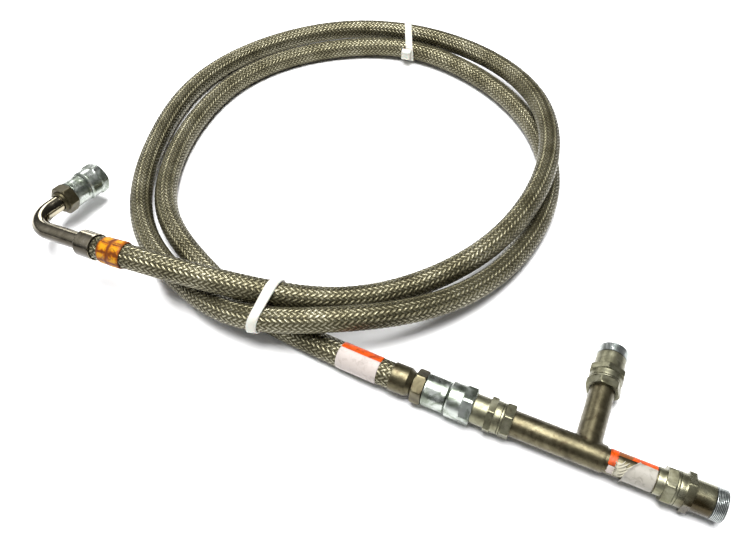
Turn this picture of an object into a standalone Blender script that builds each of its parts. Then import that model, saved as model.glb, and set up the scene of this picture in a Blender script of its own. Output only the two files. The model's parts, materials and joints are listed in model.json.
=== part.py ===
"""Cryogenic hose: a steel-braided helium line lying in two loops.

One end has an elbow with a swivelling coupling nut, the other is screwed to a tee with two open male couplings.
Metres, +Z up. +X runs along the tee away from the hose, +Y along its branch, and the floor is at Z = 0.
The origin is on the floor, under the middle of the metal fittings.
"""
import math

import bmesh
import bpy
import numpy as np
from mathutils import Matrix, Vector

PART_NAME = "cryogenic_hose"
GAP = 0.0003            # clearance that touching pieces keep
CUT_OVERRUN = 0.001     # how far a cutter runs past the face that it opens
ROUND_SIDES = 24        # facets round a fitting
INNER_SIDES = 12        # facets round a piece inside a coupling
BORE_SIDES = 20         # facets round the tee's bores
TUBE_RINGS = 8          # steps round the elbow's bend

# Hose and what is wrapped round it
HOSE_R = 0.0110
HOSE_STEP = 0.042       # spacing of the hose solid's rings
SKIN_STEP = 0.010       # closer rings under the tape, the label and the ties
SKIN_THICK = 0.0003
TAPE_START = 0.0198     # distances along the hose, from its end in the elbow ferrule
TAPE_LENGTH = 0.0225
LABEL_FROM_END = 0.0215     # from the hose's end in the crimped ferrule to the label
LABEL_LENGTH = 0.0370
LABEL_ARC = (-50.0, 125.0)  # degrees from straight up towards the tee's front

# Cable ties: where each one crosses the two strands that it holds, along the hose, and where its head sits
TIE_WIDTH = 0.0088
TIE_THICK = 0.0016
TIE_ROOM = 0.0005
TIE_SPAN = 0.0200
TIE_ARC_STEPS = 10
TIE_HEAD = (0.0064, 0.0135, 0.0140)     # height, along the strap, across it
TOP_TIE_AT = (2.2897, 0.8572)
TOP_TIE_HEAD = 20.0                     # degrees on the first strand, from the line away from the second
FRONT_TIE_AT = (0.1772, 1.6004)
FRONT_TIE_HEAD = -45.0

# Crimped ferrule and hex nipple at the straight end
FERRULE_R = 0.0122
FERRULE_LENGTH = 0.0185
FERRULE_TAPER = 0.0046
FERRULE_GRIP = 0.0107       # how deep the hose sits in it
NIPPLE_NECK_R = 0.0097
NIPPLE_NECK = 0.0010
NIPPLE_TAIL_R = 0.0060
NIPPLE_BORE_R = 0.0045
NIPPLE_HEX = 0.0088

# Elbow end
ELBOW_CORNER = (-0.3100, -0.0450, 0.0370)
ELBOW_HEADING = -2.0        # degrees: the hose leg's direction in plan
ELBOW_PITCH = 8.0           # how far the hose leg rises
ELBOW_DROOP = -7.0          # how far the coupling leg dips
ELBOW_TUBE_R = 0.0080
ELBOW_TUBE_WALL = 0.0014
ELBOW_BEND_R = 0.0280
COLLAR_AT = 0.0725          # from the corner along the hose leg
COLLAR_R = 0.01225
COLLAR_LENGTH = 0.0190
COLLAR_LIP = 0.0020
COLLAR_GRIP = 0.0120
COLLAR_WEB = 0.0020
ELBOW_SHOULDER_AT = 0.0692  # from the corner along the coupling leg to the nut
ELBOW_HEX = 0.0105
ELBOW_SLEEVE_R = 0.0108
ELBOW_SLEEVE = 0.0030
TUBE_SEAT = 0.0060          # how deep a tube sits in its fitting

# Female coupling half, measured from the shoulder where its nut begins
HEX_ADAPTER_FLAT = 0.0127       # half the width across flats of the hose-side hexes
BODY_R = 0.0133
BODY_FLAT = 0.0128
BODY_CHAMFER = 0.0008
UNION_BACK = 0.0194
ELBOW_BACK = 0.0174
BARREL_R = 0.0102
BARREL_LENGTH = 0.0101
CHAMBER_R = 0.0088
SPIGOT = 0.0040
SPIGOT_R = CHAMBER_R - GAP
SPIGOT_BORE_R = 0.0064
NUT_LENGTH = 0.0216
NUT_R = 0.0147
NUT_FLAT = 0.0143
NUT_CORNER_R = 0.0159
NUT_HEX = 0.0095
NUT_LIP = 0.0028
NUT_CHAMFER = 0.0015
RING_R = 0.0120
RING_THICK = 0.0014
RING_DEPTH = 0.0006
GASKET_THICK = 0.0009

# Valves: a sleeve round a fixed post in the female half, a poppet in the male half
VALVE_STROKE = 0.0060
SLEEVE_LENGTH = 0.0100
SLEEVE_WALL = 0.0017
SLEEVE_LIP = 0.0022
HEAD_R = 0.0050
HEAD_THICK = 0.0020
POST_R = 0.0022
SPIDER_THICK = 0.0020
SPIDER_HOLE_R = 0.0025
SPIDER_HOLES_AT = 0.0053
POPPET_NOSE = 0.0030
POPPET_FLANGE_R = 0.0070
POPPET_FLANGE = 0.0020
STEM_R = 0.0016
STEM_LENGTH = 0.0180
GUIDE_FROM_FACE = 0.0173
SPRING_WIRE_R = 0.0005
SPRING_TURNS = 3.5
SPRING_STEPS = 8        # points in one turn
POPPET_SPRING_R = 0.0042
SLEEVE_SPRING_R = 0.0077

# Tee with its three arms
TEE_CENTRE = (0.2220, -0.0400)
RUN_R = 0.01065
BRANCH_R = 0.0100
STUB_R = 0.0095
TUBE_WALL = 0.0016
STUB_SEAM = 0.0142      # from the tee's centre to the end of the run tube
STUB_SOCKET = 0.0040
LABEL_ON_STUB = 0.0062  # from the seam to the torn label
LABEL_TO_NECK = 0.0010  # from the label to the adapter that the stub enters

# Male coupling half, measured back from its face
TEE_REACH = 0.1003      # from the tee's centre to each male half's face
THREAD_R = 0.0124
THREAD_LENGTH = 0.0086
MALE_R = 0.0121
MALE_BARREL = 0.0145
FLANGE_FLAT = 0.0135
FLANGE_CORNER_R = 0.0156
FLANGE_LENGTH = 0.0052
SKIRT_R = 0.0131
SKIRT_LENGTH = 0.0052
WASHER_THICK = 0.0016
ADAPTER_HEX = 0.0073
ADAPTER_CORNER_R = 0.01466
END_NECK_R = 0.0104     # the round neck of the end arm's adapter
END_NECK = 0.0055
HEX_CHAMFER = 0.0010

# How each hex is turned about its axis, in degrees, and the height that the lowest flange gives the run
UNION_NUT_TURN = 17.0
ELBOW_NUT_TURN = 12.0
ELBOW_HEX_TURN = 23.0
NIPPLE_TURN = -4.0
BODY_TURN = 4.0
UNION_ARM_TURNS = (-23.0, -18.0)    # flange, then adapter
END_ARM_TURNS = (4.0, 32.0)
BRANCH_ARM_TURNS = (-8.0, -20.0)
RUN_HEIGHT = FLANGE_CORNER_R * math.cos(math.radians(END_ARM_TURNS[0]))

# The hose's route between its ferrules, chosen by eye from the strands in the photograph
ROUTE = [
    (-0.158, -0.044, 0.0510), (-0.077, -0.0285, 0.0440), (-0.008, 0.000, 0.0328),
    (0.051, 0.053, 0.0275), (0.093, 0.122, 0.0300), (0.110, 0.197, 0.0340),
    (0.103, 0.278, 0.0350), (0.071, 0.348, 0.0335), (0.015, 0.403, 0.0285),
    (-0.057, 0.434, 0.0245), (-0.136, 0.439, 0.0215), (-0.212, 0.417, 0.0170),
    (-0.272, 0.368, 0.0130), (-0.310, 0.299, 0.0115), (-0.320, 0.222, 0.0115),
    (-0.304, 0.144, 0.0115), (-0.273, 0.071, 0.0115), (-0.227, 0.013, 0.0130),
    (-0.155, -0.029, 0.0185), (-0.079, -0.0475, 0.0293), (-0.005, -0.028, 0.0393),
    (0.057, 0.020, 0.0300), (0.101, 0.088, 0.0170), (0.120, 0.163, 0.0120),
    (0.117, 0.242, 0.0115), (0.087, 0.312, 0.0115), (0.034, 0.368, 0.0115),
    (-0.040, 0.406, 0.0128), (-0.115, 0.415, 0.0143), (-0.188, 0.389, 0.0125),
    (-0.247, 0.336, 0.0115), (-0.279, 0.268, 0.0115), (-0.282, 0.187, 0.0115),
    (-0.262, 0.109, 0.0120), (-0.223, 0.044, 0.0130), (-0.157, 0.000, 0.0135),
    (-0.082, -0.027, 0.0115), (-0.004, -0.036, 0.0120),
]

# Name, colour, roughness, metallic
FINISHES = {
    "braid": ((0.33, 0.31, 0.25), 0.42, 0.9),
    "patina": ((0.20, 0.18, 0.11), 0.45, 0.8),
    "zinc": ((0.58, 0.62, 0.62), 0.30, 0.9),
    "stainless": ((0.36, 0.33, 0.27), 0.22, 1.0),
    "valve_steel": ((0.60, 0.59, 0.56), 0.25, 1.0),
    "spring_steel": ((0.45, 0.45, 0.46), 0.30, 1.0),
    "gasket": ((0.05, 0.05, 0.05), 0.70, 0.0),
    "amber_tape": ((0.85, 0.42, 0.04), 0.35, 0.0),
    "label": ((0.88, 0.85, 0.80), 0.55, 0.0),
    "nylon": ((0.90, 0.91, 0.92), 0.40, 0.0),
}


# Scene helpers

def clear_scene():
    for obj in list(bpy.data.objects):
        bpy.data.objects.remove(obj, do_unlink=True)


def make_collection(name):
    collection = bpy.data.collections.new(name)
    bpy.context.scene.collection.children.link(collection)
    return collection


def make_finishes():
    made = {}
    for name, (colour, roughness, metallic) in FINISHES.items():
        material = bpy.data.materials.new(name)
        material.use_nodes = True
        shader = material.node_tree.nodes["Principled BSDF"]
        shader.inputs["Base Color"].default_value = (*colour, 1.0)
        shader.inputs["Roughness"].default_value = roughness
        shader.inputs["Metallic"].default_value = metallic
        made[name] = material
    return made


def add_piece(name, data, finish, parent=None):
    """An object of the part, in its parent's frame."""
    obj = bpy.data.objects.new(name, data)
    data.materials.append(finishes[finish])
    parts.objects.link(obj)
    obj.parent = parent
    return obj


def add_cutter(name, mesh, parent=None):
    """A tool solid for a Boolean, which is no piece of the part."""
    obj = bpy.data.objects.new(name, mesh)
    cutters.objects.link(obj)
    obj.parent = parent
    obj.hide_render = True
    obj.display_type = "WIRE"
    return obj


def combine(obj, tool, operation="DIFFERENCE"):
    boolean = obj.modifiers.new(tool.name, "BOOLEAN")
    boolean.operation = operation
    boolean.object = tool


def add_axis(name, origin, direction, side):
    """An empty whose Z is the direction of an axis and whose X lies nearest to side."""
    z = Vector(direction).normalized()
    x = Vector(side) - z * z.dot(Vector(side))
    x.normalize()
    rotation = Matrix((x, z.cross(x), z)).transposed()
    axis = bpy.data.objects.new(name, None)
    parts.objects.link(axis)
    axis.empty_display_size = 0.01
    axis.matrix_world = Matrix.Translation(origin) @ rotation.to_4x4()
    return axis


# Shape helpers

def turned_mesh(obj, sides):
    screw = obj.modifiers.new("turn", "SCREW")
    screw.axis = "Z"
    screw.steps = sides
    screw.render_steps = sides
    screw.use_merge_vertices = True
    screw.merge_threshold = 0.00001


def profile_mesh(name, outer, inner):
    """The outline down the outer side and up the inner one, from (radius, height) points given bottom to top."""
    points = list(reversed(outer)) + list(inner)
    edges = [(i, i + 1) for i in range(len(points) - 1)]
    if inner:
        edges.append((len(points) - 1, 0))
    mesh = bpy.data.meshes.new(name)
    mesh.from_pydata([(radius, 0.0, height) for radius, height in points], edges, [])
    return mesh


def turned(name, finish, axis, outer, inner=(), sides=ROUND_SIDES):
    obj = add_piece(name, profile_mesh(name, outer, inner), finish, axis)
    turned_mesh(obj, sides)
    return obj


def turned_cutter(name, axis, outer, sides=ROUND_SIDES):
    obj = add_cutter(name, profile_mesh(name, outer, ()), axis)
    turned_mesh(obj, sides)
    return obj


def rod_profile(radius, bottom, top):
    return [(0.0, bottom), (radius, bottom), (radius, top), (0.0, top)]


def hex_trim(obj, axis, flat, bottom, top, turn):
    """Cuts a hex between two heights; turn is the angle from the axis frame's X to a corner."""
    bm = bmesh.new()
    bmesh.ops.create_cone(bm, cap_ends=False, segments=6, depth=top - bottom,
                          radius1=flat / math.cos(math.pi / 6), radius2=flat / math.cos(math.pi / 6))
    bmesh.ops.translate(bm, verts=bm.verts, vec=(0.0, 0.0, (top + bottom) / 2))
    bmesh.ops.rotate(bm, verts=bm.verts, cent=(0.0, 0.0, 0.0),
                     matrix=Matrix.Rotation(math.radians(turn - 30.0), 3, "Z"))
    mesh = bpy.data.meshes.new(obj.name + "_hex")
    bm.to_mesh(mesh)
    bm.free()
    tool = add_cutter(obj.name + "_hex", mesh, axis)
    shell = tool.modifiers.new("wall", "SOLIDIFY")
    shell.thickness = flat / 2
    shell.offset = 1.0
    shell.use_even_offset = True
    combine(obj, tool)


def spider_holes(obj, axis, bottom):
    """Three round gas holes through a spider's disc."""
    bm = bmesh.new()
    depth = SPIDER_THICK + 2 * CUT_OVERRUN
    for i in range(3):
        angle = 2 * math.pi * i / 3
        place = Matrix.Translation((SPIDER_HOLES_AT * math.cos(angle), SPIDER_HOLES_AT * math.sin(angle),
                                    bottom + SPIDER_THICK / 2))
        bmesh.ops.create_cone(bm, cap_ends=True, segments=10, radius1=SPIDER_HOLE_R, radius2=SPIDER_HOLE_R,
                              depth=depth, matrix=place)
    mesh = bpy.data.meshes.new(obj.name + "_holes")
    bm.to_mesh(mesh)
    bm.free()
    combine(obj, add_cutter(obj.name + "_holes", mesh, axis))


def wire_curve(name, points, radius, resolution):
    curve = bpy.data.curves.new(name, "CURVE")
    curve.dimensions = "3D"
    curve.bevel_depth = radius
    curve.bevel_resolution = resolution
    curve.use_fill_caps = True
    spline = curve.splines.new("POLY")
    spline.points.add(len(points) - 1)
    for item, point in zip(spline.points, points):
        item.co = (*point, 1.0)
    return curve


def mesh_from_curve(curve):
    """The curve's tube as a closed mesh; the curve is removed."""
    guide = bpy.data.objects.new(curve.name, curve)
    parts.objects.link(guide)
    bpy.context.view_layer.update()
    mesh = bpy.data.meshes.new_from_object(guide.evaluated_get(bpy.context.evaluated_depsgraph_get()))
    bpy.data.objects.remove(guide)
    bm = bmesh.new()
    bm.from_mesh(mesh)
    bmesh.ops.remove_doubles(bm, verts=bm.verts, dist=0.00001)
    bm.to_mesh(mesh)
    bm.free()
    return mesh


def spring(name, axis, radius, bottom, top):
    """A coil between two faces, a clearance off each."""
    low = bottom + GAP + SPRING_WIRE_R
    rise = top - GAP - SPRING_WIRE_R - low
    count = round(SPRING_TURNS * SPRING_STEPS)
    points = []
    for i in range(count + 1):
        angle = 2 * math.pi * i / SPRING_STEPS
        points.append((radius * math.cos(angle), radius * math.sin(angle), low + rise * i / count))
    add_piece(name, wire_curve(name, points, SPRING_WIRE_R, 1), "spring_steel", axis)


def wrap(name, finish, rings, radius, arc, thickness):
    """A skin round a tube: rings are (centre, side, up), and arc is in degrees from up towards side."""
    whole = arc[1] - arc[0] >= 360.0
    columns = 16
    angles = [math.radians(arc[0] + (arc[1] - arc[0]) * i / columns) for i in range(columns + (not whole))]
    bm = bmesh.new()
    rows = []
    for centre, side, up in rings:
        rows.append([bm.verts.new(centre + (up * math.cos(a) + side * math.sin(a)) * radius) for a in angles])
    for lower, upper in zip(rows, rows[1:]):
        for i in range(len(angles) - (not whole)):
            j = (i + 1) % len(angles)
            bm.faces.new((lower[i], lower[j], upper[j], upper[i]))
    mesh = bpy.data.meshes.new(name)
    bm.to_mesh(mesh)
    bm.free()
    obj = add_piece(name, mesh, finish)
    shell = obj.modifiers.new("wall", "SOLIDIFY")
    shell.thickness = thickness
    shell.offset = 1.0
    shell.use_even_offset = True


# The hose's route

def clamped_spline(points, start_direction, end_direction):
    """Coefficients of a smooth cubic through the points, with its end directions given."""
    points = np.array(points)
    spans = np.linalg.norm(np.diff(points, axis=0), axis=1)
    slopes = np.diff(points, axis=0) / spans[:, None]
    count = len(points)
    matrix = np.zeros((count, count))
    right = np.zeros((count, 3))
    matrix[0, :2] = 2 * spans[0], spans[0]
    right[0] = 3 * (slopes[0] - start_direction)
    matrix[-1, -2:] = spans[-1], 2 * spans[-1]
    right[-1] = 3 * (end_direction - slopes[-1])
    for i in range(1, count - 1):
        matrix[i, i - 1:i + 2] = spans[i - 1], 2 * (spans[i - 1] + spans[i]), spans[i]
        right[i] = 3 * (slopes[i] - slopes[i - 1])
    bends = np.linalg.solve(matrix, right)
    return points, spans, slopes, bends


def sample_spline(spline, steps):
    points, spans, slopes, bends = spline
    samples = []
    for i, span in enumerate(spans):
        linear = slopes[i] - span * (2 * bends[i] + bends[i + 1]) / 3
        cubic = (bends[i + 1] - bends[i]) / (3 * span)
        for t in np.linspace(0.0, span, steps, endpoint=False):
            samples.append(points[i] + linear * t + bends[i] * t ** 2 + cubic * t ** 3)
    samples.append(points[-1])
    return np.array(samples)


class Route:
    """The hose's centreline, straight in both ferrules and read by the distance from its end in the elbow's."""

    def __init__(self, start, start_direction, end, end_direction):
        start_mouth = start + start_direction * COLLAR_GRIP
        end_mouth = end - end_direction * FERRULE_GRIP
        spline = clamped_spline([tuple(start_mouth), *ROUTE, tuple(end_mouth)],
                                np.array(start_direction), np.array(end_direction))
        self.samples = np.vstack((start, sample_spline(spline, 40), end))
        steps = np.linalg.norm(np.diff(self.samples, axis=0), axis=1)
        self.distances = np.concatenate(([0.0], np.cumsum(steps)))
        self.length = float(self.distances[-1])

    def point(self, distance):
        return Vector([float(np.interp(distance, self.distances, self.samples[:, k])) for k in range(3)])

    def ring(self, distance):
        """Centre, level side and up direction of the hose's section."""
        ahead = self.point(min(distance + 0.001, self.length))
        behind = self.point(max(distance - 0.001, 0.0))
        tangent = (ahead - behind).normalized()
        side = tangent.cross(Vector((0.0, 0.0, 1.0))).normalized()
        return self.point(distance), side, side.cross(tangent)

    def tangent(self, distance):
        _, side, up = self.ring(distance)
        return up.cross(side)


# Hose, tape, label and ties

def label_start(route):
    return route.length - LABEL_FROM_END - LABEL_LENGTH


def hose_stations(route):
    """Even steps along the hose, and closer ones in the ferrules and under the tape, the label and the ties."""
    stretches = [(0.0, COLLAR_GRIP), (route.length - FERRULE_GRIP, FERRULE_GRIP),
                 (TAPE_START, TAPE_LENGTH), (label_start(route), LABEL_LENGTH)]
    stretches += [(at - TIE_SPAN / 2, TIE_SPAN) for at in (*TOP_TIE_AT, *FRONT_TIE_AT)]
    stations = list(np.linspace(0.0, route.length, round(route.length / HOSE_STEP) + 1))
    for start, length in stretches:
        stations = [s for s in stations if not start - SKIN_STEP / 4 < s < start + length + SKIN_STEP / 4]
        stations += list(np.linspace(start, start + length, round(length / SKIN_STEP) + 1))
    return sorted(stations)


def make_hose(route):
    points = [route.point(s) for s in hose_stations(route)]
    add_piece("braided_hose", wire_curve("braided_hose", points, HOSE_R, 4), "braid")


def skin_rings(route, start, length):
    return [route.ring(s) for s in np.linspace(start, start + length, round(length / SKIN_STEP) + 1)]


def make_hose_skins(route):
    tape = skin_rings(route, TAPE_START, TAPE_LENGTH)
    wrap("amber_tape", "amber_tape", tape, HOSE_R + GAP, (0.0, 360.0), SKIN_THICK)
    label = skin_rings(route, label_start(route), LABEL_LENGTH)
    wrap("hose_label", "label", label, HOSE_R + GAP, LABEL_ARC, SKIN_THICK)


class TieStrand:
    """One strand in a tie's frame: where it is at each height, and the oval that it is cut to there."""

    def __init__(self, to_tie, point, tangent):
        self.centre = to_tie @ point
        self.direction = to_tie.to_3x3() @ tangent
        self.slope = self.direction / self.direction.z

    def on_axis(self, height):
        return self.centre + self.slope * (height - self.centre.z)

    def edge(self, angle, height, offset):
        """The point whose outward direction is at this angle, on the oval widened by an offset."""
        out = Vector((math.cos(angle), math.sin(angle), 0.0))
        lean = Vector((self.slope.x, self.slope.y, 0.0))
        stretched = out + lean * lean.dot(out)
        oval = stretched * (HOSE_R / math.sqrt(stretched.dot(out)))
        return self.on_axis(height) + oval + out * offset

    def head_place(self, angle):
        """Where a tie's head sits: height outwards, length round the strand and width along it."""
        out = Vector((math.cos(angle), math.sin(angle), 0.0))
        out = (out - self.direction * out.dot(self.direction)).normalized()
        basis = Matrix((out, self.direction.cross(out), self.direction)).transposed()
        seat = self.on_axis(0.0) + out * (HOSE_R + TIE_ROOM + TIE_THICK / 2 + TIE_HEAD[0] / 2)
        return Matrix.Translation(seat) @ basis.to_4x4()


def strap_mesh(name, strands):
    """The inner face of a strap that is drawn round both strands."""
    bm = bmesh.new()
    rows = []
    for height in (-TIE_WIDTH / 2, TIE_WIDTH / 2):
        row = []
        for strand, start in zip(strands, (-math.pi / 2, math.pi / 2)):
            for i in range(TIE_ARC_STEPS + 1):
                angle = start + math.pi * i / TIE_ARC_STEPS
                row.append(bm.verts.new(strand.edge(angle, height, TIE_ROOM)))
        rows.append(row)
    for i in range(len(rows[0])):
        j = (i + 1) % len(rows[0])
        bm.faces.new((rows[0][i], rows[0][j], rows[1][j], rows[1][i]))
    mesh = bpy.data.meshes.new(name)
    bm.to_mesh(mesh)
    bm.free()
    return mesh


def make_tie(name, route, crossings, head_degrees):
    """A strap round two strands, with its head on the first one."""
    points = [route.point(s) for s in crossings]
    tangents = [route.tangent(s) for s in crossings]
    tangents[1] *= math.copysign(1.0, tangents[0].dot(tangents[1]))
    apart = points[0] - points[1]
    across = (tangents[0] + tangents[1]).cross(apart)
    axis = add_axis(name + "_plane", (points[0] + points[1]) / 2, apart.cross(across), apart)
    to_tie = axis.matrix_world.inverted()
    strands = [TieStrand(to_tie, point, tangent) for point, tangent in zip(points, tangents)]
    strap = add_piece(name, strap_mesh(name, strands), "nylon", axis)
    shell = strap.modifiers.new("wall", "SOLIDIFY")
    shell.thickness = TIE_THICK
    shell.offset = 1.0
    shell.use_even_offset = True
    bm = bmesh.new()
    place = strands[0].head_place(math.radians(head_degrees)) @ Matrix.Diagonal((*TIE_HEAD, 1.0))
    bmesh.ops.create_cube(bm, size=1.0, matrix=place)
    mesh = bpy.data.meshes.new(name + "_head")
    bm.to_mesh(mesh)
    bm.free()
    combine(strap, add_cutter(name + "_head", mesh, axis), "UNION")


# Female coupling half. Its axis has Z = 0 at the nut's shoulder and points out of the mouth.

def spider_bottom(back):
    return -back + SPIGOT + GAP


def make_female_half(prefix, axis, back, opened, nut_turn):
    shift = VALVE_STROKE if opened else 0.0
    tip = BARREL_LENGTH + VALVE_STROKE - shift
    make_female_body(prefix, axis, back)
    make_nut(prefix, axis, nut_turn)
    bottom = spider_bottom(back)
    top = bottom + SPIDER_THICK
    head_top = BARREL_LENGTH + VALVE_STROKE
    post = turned(prefix + "_valve_post", "valve_steel", axis, [
        (0.0, bottom), (SPIGOT_R, bottom), (SPIGOT_R, top), (POST_R, top),
        (POST_R, head_top - HEAD_THICK), (HEAD_R, head_top - HEAD_THICK), (HEAD_R, head_top), (0.0, head_top),
    ], sides=INNER_SIDES)
    spider_holes(post, axis, bottom)
    rear = tip - SLEEVE_LENGTH
    turned(prefix + "_valve_sleeve", "valve_steel", axis,
           [(SPIGOT_R, rear), (SPIGOT_R, tip)],
           [(SPIGOT_R - SLEEVE_WALL, rear), (SPIGOT_R - SLEEVE_WALL, tip - SLEEVE_LIP),
            (HEAD_R + GAP, tip - SLEEVE_LIP), (HEAD_R + GAP, tip)], sides=INNER_SIDES)
    spring(prefix + "_valve_spring", axis, SLEEVE_SPRING_R, top, rear)


def make_female_body(prefix, axis, back):
    gasket_bottom = BARREL_LENGTH - GASKET_THICK
    seat = gasket_bottom - GAP
    groove = NUT_LIP + GAP
    groove_top = groove + RING_THICK + 2 * GAP
    body = turned(prefix + "_coupling_body", "zinc", axis, [
        (BODY_R - BODY_CHAMFER, -back), (BODY_R, -back + BODY_CHAMFER),
        (BODY_R, -BODY_CHAMFER), (BODY_R - BODY_CHAMFER, 0.0),
        (BARREL_R, 0.0), (BARREL_R, groove), (BARREL_R - RING_DEPTH, groove),
        (BARREL_R - RING_DEPTH, groove_top), (BARREL_R, groove_top), (BARREL_R, seat),
    ], [(CHAMBER_R, -back), (CHAMBER_R, seat)])
    hex_trim(body, axis, BODY_FLAT, -back + 2 * BODY_CHAMFER, -back / 4, BODY_TURN)
    ring_bottom = groove + GAP
    turned(prefix + "_retaining_ring", "spring_steel", axis,
           [(RING_R, ring_bottom), (RING_R, ring_bottom + RING_THICK)],
           [(BARREL_R - RING_DEPTH + GAP, ring_bottom), (BARREL_R - RING_DEPTH + GAP, ring_bottom + RING_THICK)])
    turned(prefix + "_face_gasket", "gasket", axis,
           [(BARREL_R, gasket_bottom), (BARREL_R, BARREL_LENGTH)],
           [(CHAMBER_R, gasket_bottom), (CHAMBER_R, BARREL_LENGTH)])


def make_nut(prefix, axis, turn):
    start = GAP
    end = start + NUT_LENGTH
    hex_start = end - NUT_HEX
    thread_r = THREAD_R + GAP
    nut = turned(prefix + "_coupling_nut", "zinc", axis, [
        (NUT_R - NUT_CHAMFER, start), (NUT_R, start + NUT_CHAMFER), (NUT_R, hex_start),
        (NUT_CORNER_R, hex_start + HEX_CHAMFER), (NUT_CORNER_R, end - HEX_CHAMFER), (NUT_FLAT, end),
    ], [(BARREL_R + GAP, start), (BARREL_R + GAP, start + NUT_LIP - GAP),
        (thread_r, start + NUT_LIP - GAP), (thread_r, end)])
    hex_trim(nut, axis, NUT_FLAT, hex_start, end + CUT_OVERRUN, turn)


# Male coupling half. Its axis starts at the tee's centre, so its face is at TEE_REACH.

def male_heights():
    flange_top = TEE_REACH - THREAD_LENGTH - MALE_BARREL
    rear = flange_top - FLANGE_LENGTH - SKIRT_LENGTH
    hex_top = rear - GAP - WASHER_THICK - GAP
    return flange_top, rear, hex_top, hex_top - ADAPTER_HEX


def make_male_half(prefix, axis, tube_r, opened, turns, neck=()):
    """The male half and its adapter, whose neck is the radius and length of a round part behind its hex."""
    shift = VALVE_STROKE if opened else 0.0
    flange_top, rear, hex_top, hex_bottom = male_heights()
    flange_bottom = flange_top - FLANGE_LENGTH
    guide_top = TEE_REACH - GUIDE_FROM_FACE
    guide_bottom = guide_top - SPIDER_THICK
    body = turned(prefix + "_male_body", "patina", axis, [
        (SKIRT_R, rear), (SKIRT_R, flange_bottom),
        (FLANGE_CORNER_R - HEX_CHAMFER / 2, flange_bottom), (FLANGE_CORNER_R, flange_bottom + HEX_CHAMFER / 2),
        (FLANGE_CORNER_R, flange_top - HEX_CHAMFER / 2), (FLANGE_CORNER_R - HEX_CHAMFER / 2, flange_top),
        (MALE_R, flange_top), (MALE_R, TEE_REACH - THREAD_LENGTH),
        (THREAD_R, TEE_REACH - THREAD_LENGTH + HEX_CHAMFER / 2), (THREAD_R, TEE_REACH - HEX_CHAMFER),
        (THREAD_R - HEX_CHAMFER, TEE_REACH),
    ], [(CHAMBER_R, rear), (CHAMBER_R, TEE_REACH - POPPET_NOSE),
        (HEAD_R + GAP, TEE_REACH - POPPET_NOSE), (HEAD_R + GAP, TEE_REACH)])
    hex_trim(body, axis, FLANGE_FLAT, flange_bottom - CUT_OVERRUN, flange_top + CUT_OVERRUN, turns[0])
    turned(prefix + "_washer", "patina", axis,
           [(SKIRT_R, hex_top + GAP), (SKIRT_R, hex_top + GAP + WASHER_THICK)],
           [(CHAMBER_R, hex_top + GAP), (CHAMBER_R, hex_top + GAP + WASHER_THICK)])
    tube_end = hex_bottom + TUBE_SEAT
    mouth = hex_bottom - neck[1] if neck else hex_bottom
    adapter = turned(prefix + "_hex_adapter", "patina", axis, [
        *([(neck[0], mouth), (neck[0], hex_bottom)] if neck else []),
        (ADAPTER_CORNER_R - HEX_CHAMFER, hex_bottom), (ADAPTER_CORNER_R, hex_bottom + HEX_CHAMFER),
        (ADAPTER_CORNER_R, hex_top - HEX_CHAMFER), (ADAPTER_CORNER_R - HEX_CHAMFER, hex_top),
        (SPIGOT_R, hex_top), (SPIGOT_R, guide_bottom - GAP),
    ], [(tube_r + GAP, mouth), (tube_r + GAP, tube_end), (SPIGOT_BORE_R, tube_end),
        (SPIGOT_BORE_R, guide_bottom - GAP)])
    hex_trim(adapter, axis, HEX_ADAPTER_FLAT, hex_bottom - CUT_OVERRUN, hex_top + CUT_OVERRUN, turns[1])
    guide = turned(prefix + "_poppet_guide", "valve_steel", axis,
                   [(SPIGOT_R, guide_bottom), (SPIGOT_R, guide_top)],
                   [(STEM_R + GAP, guide_bottom), (STEM_R + GAP, guide_top)], sides=INNER_SIDES)
    spider_holes(guide, axis, guide_bottom)
    face = TEE_REACH - shift
    seat = face - POPPET_NOSE - GAP
    flange = seat - POPPET_FLANGE
    turned(prefix + "_poppet", "valve_steel", axis, [
        (0.0, flange - STEM_LENGTH), (STEM_R, flange - STEM_LENGTH), (STEM_R, flange),
        (POPPET_FLANGE_R, flange), (POPPET_FLANGE_R, seat), (HEAD_R, seat), (HEAD_R, face), (0.0, face),
    ], sides=INNER_SIDES)
    spring(prefix + "_poppet_spring", axis, POPPET_SPRING_R, guide_top, flange)


# Tee

def tube_reach():
    """How far a tee tube runs from the centre into its adapter."""
    return male_heights()[3] + TUBE_SEAT - GAP


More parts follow.
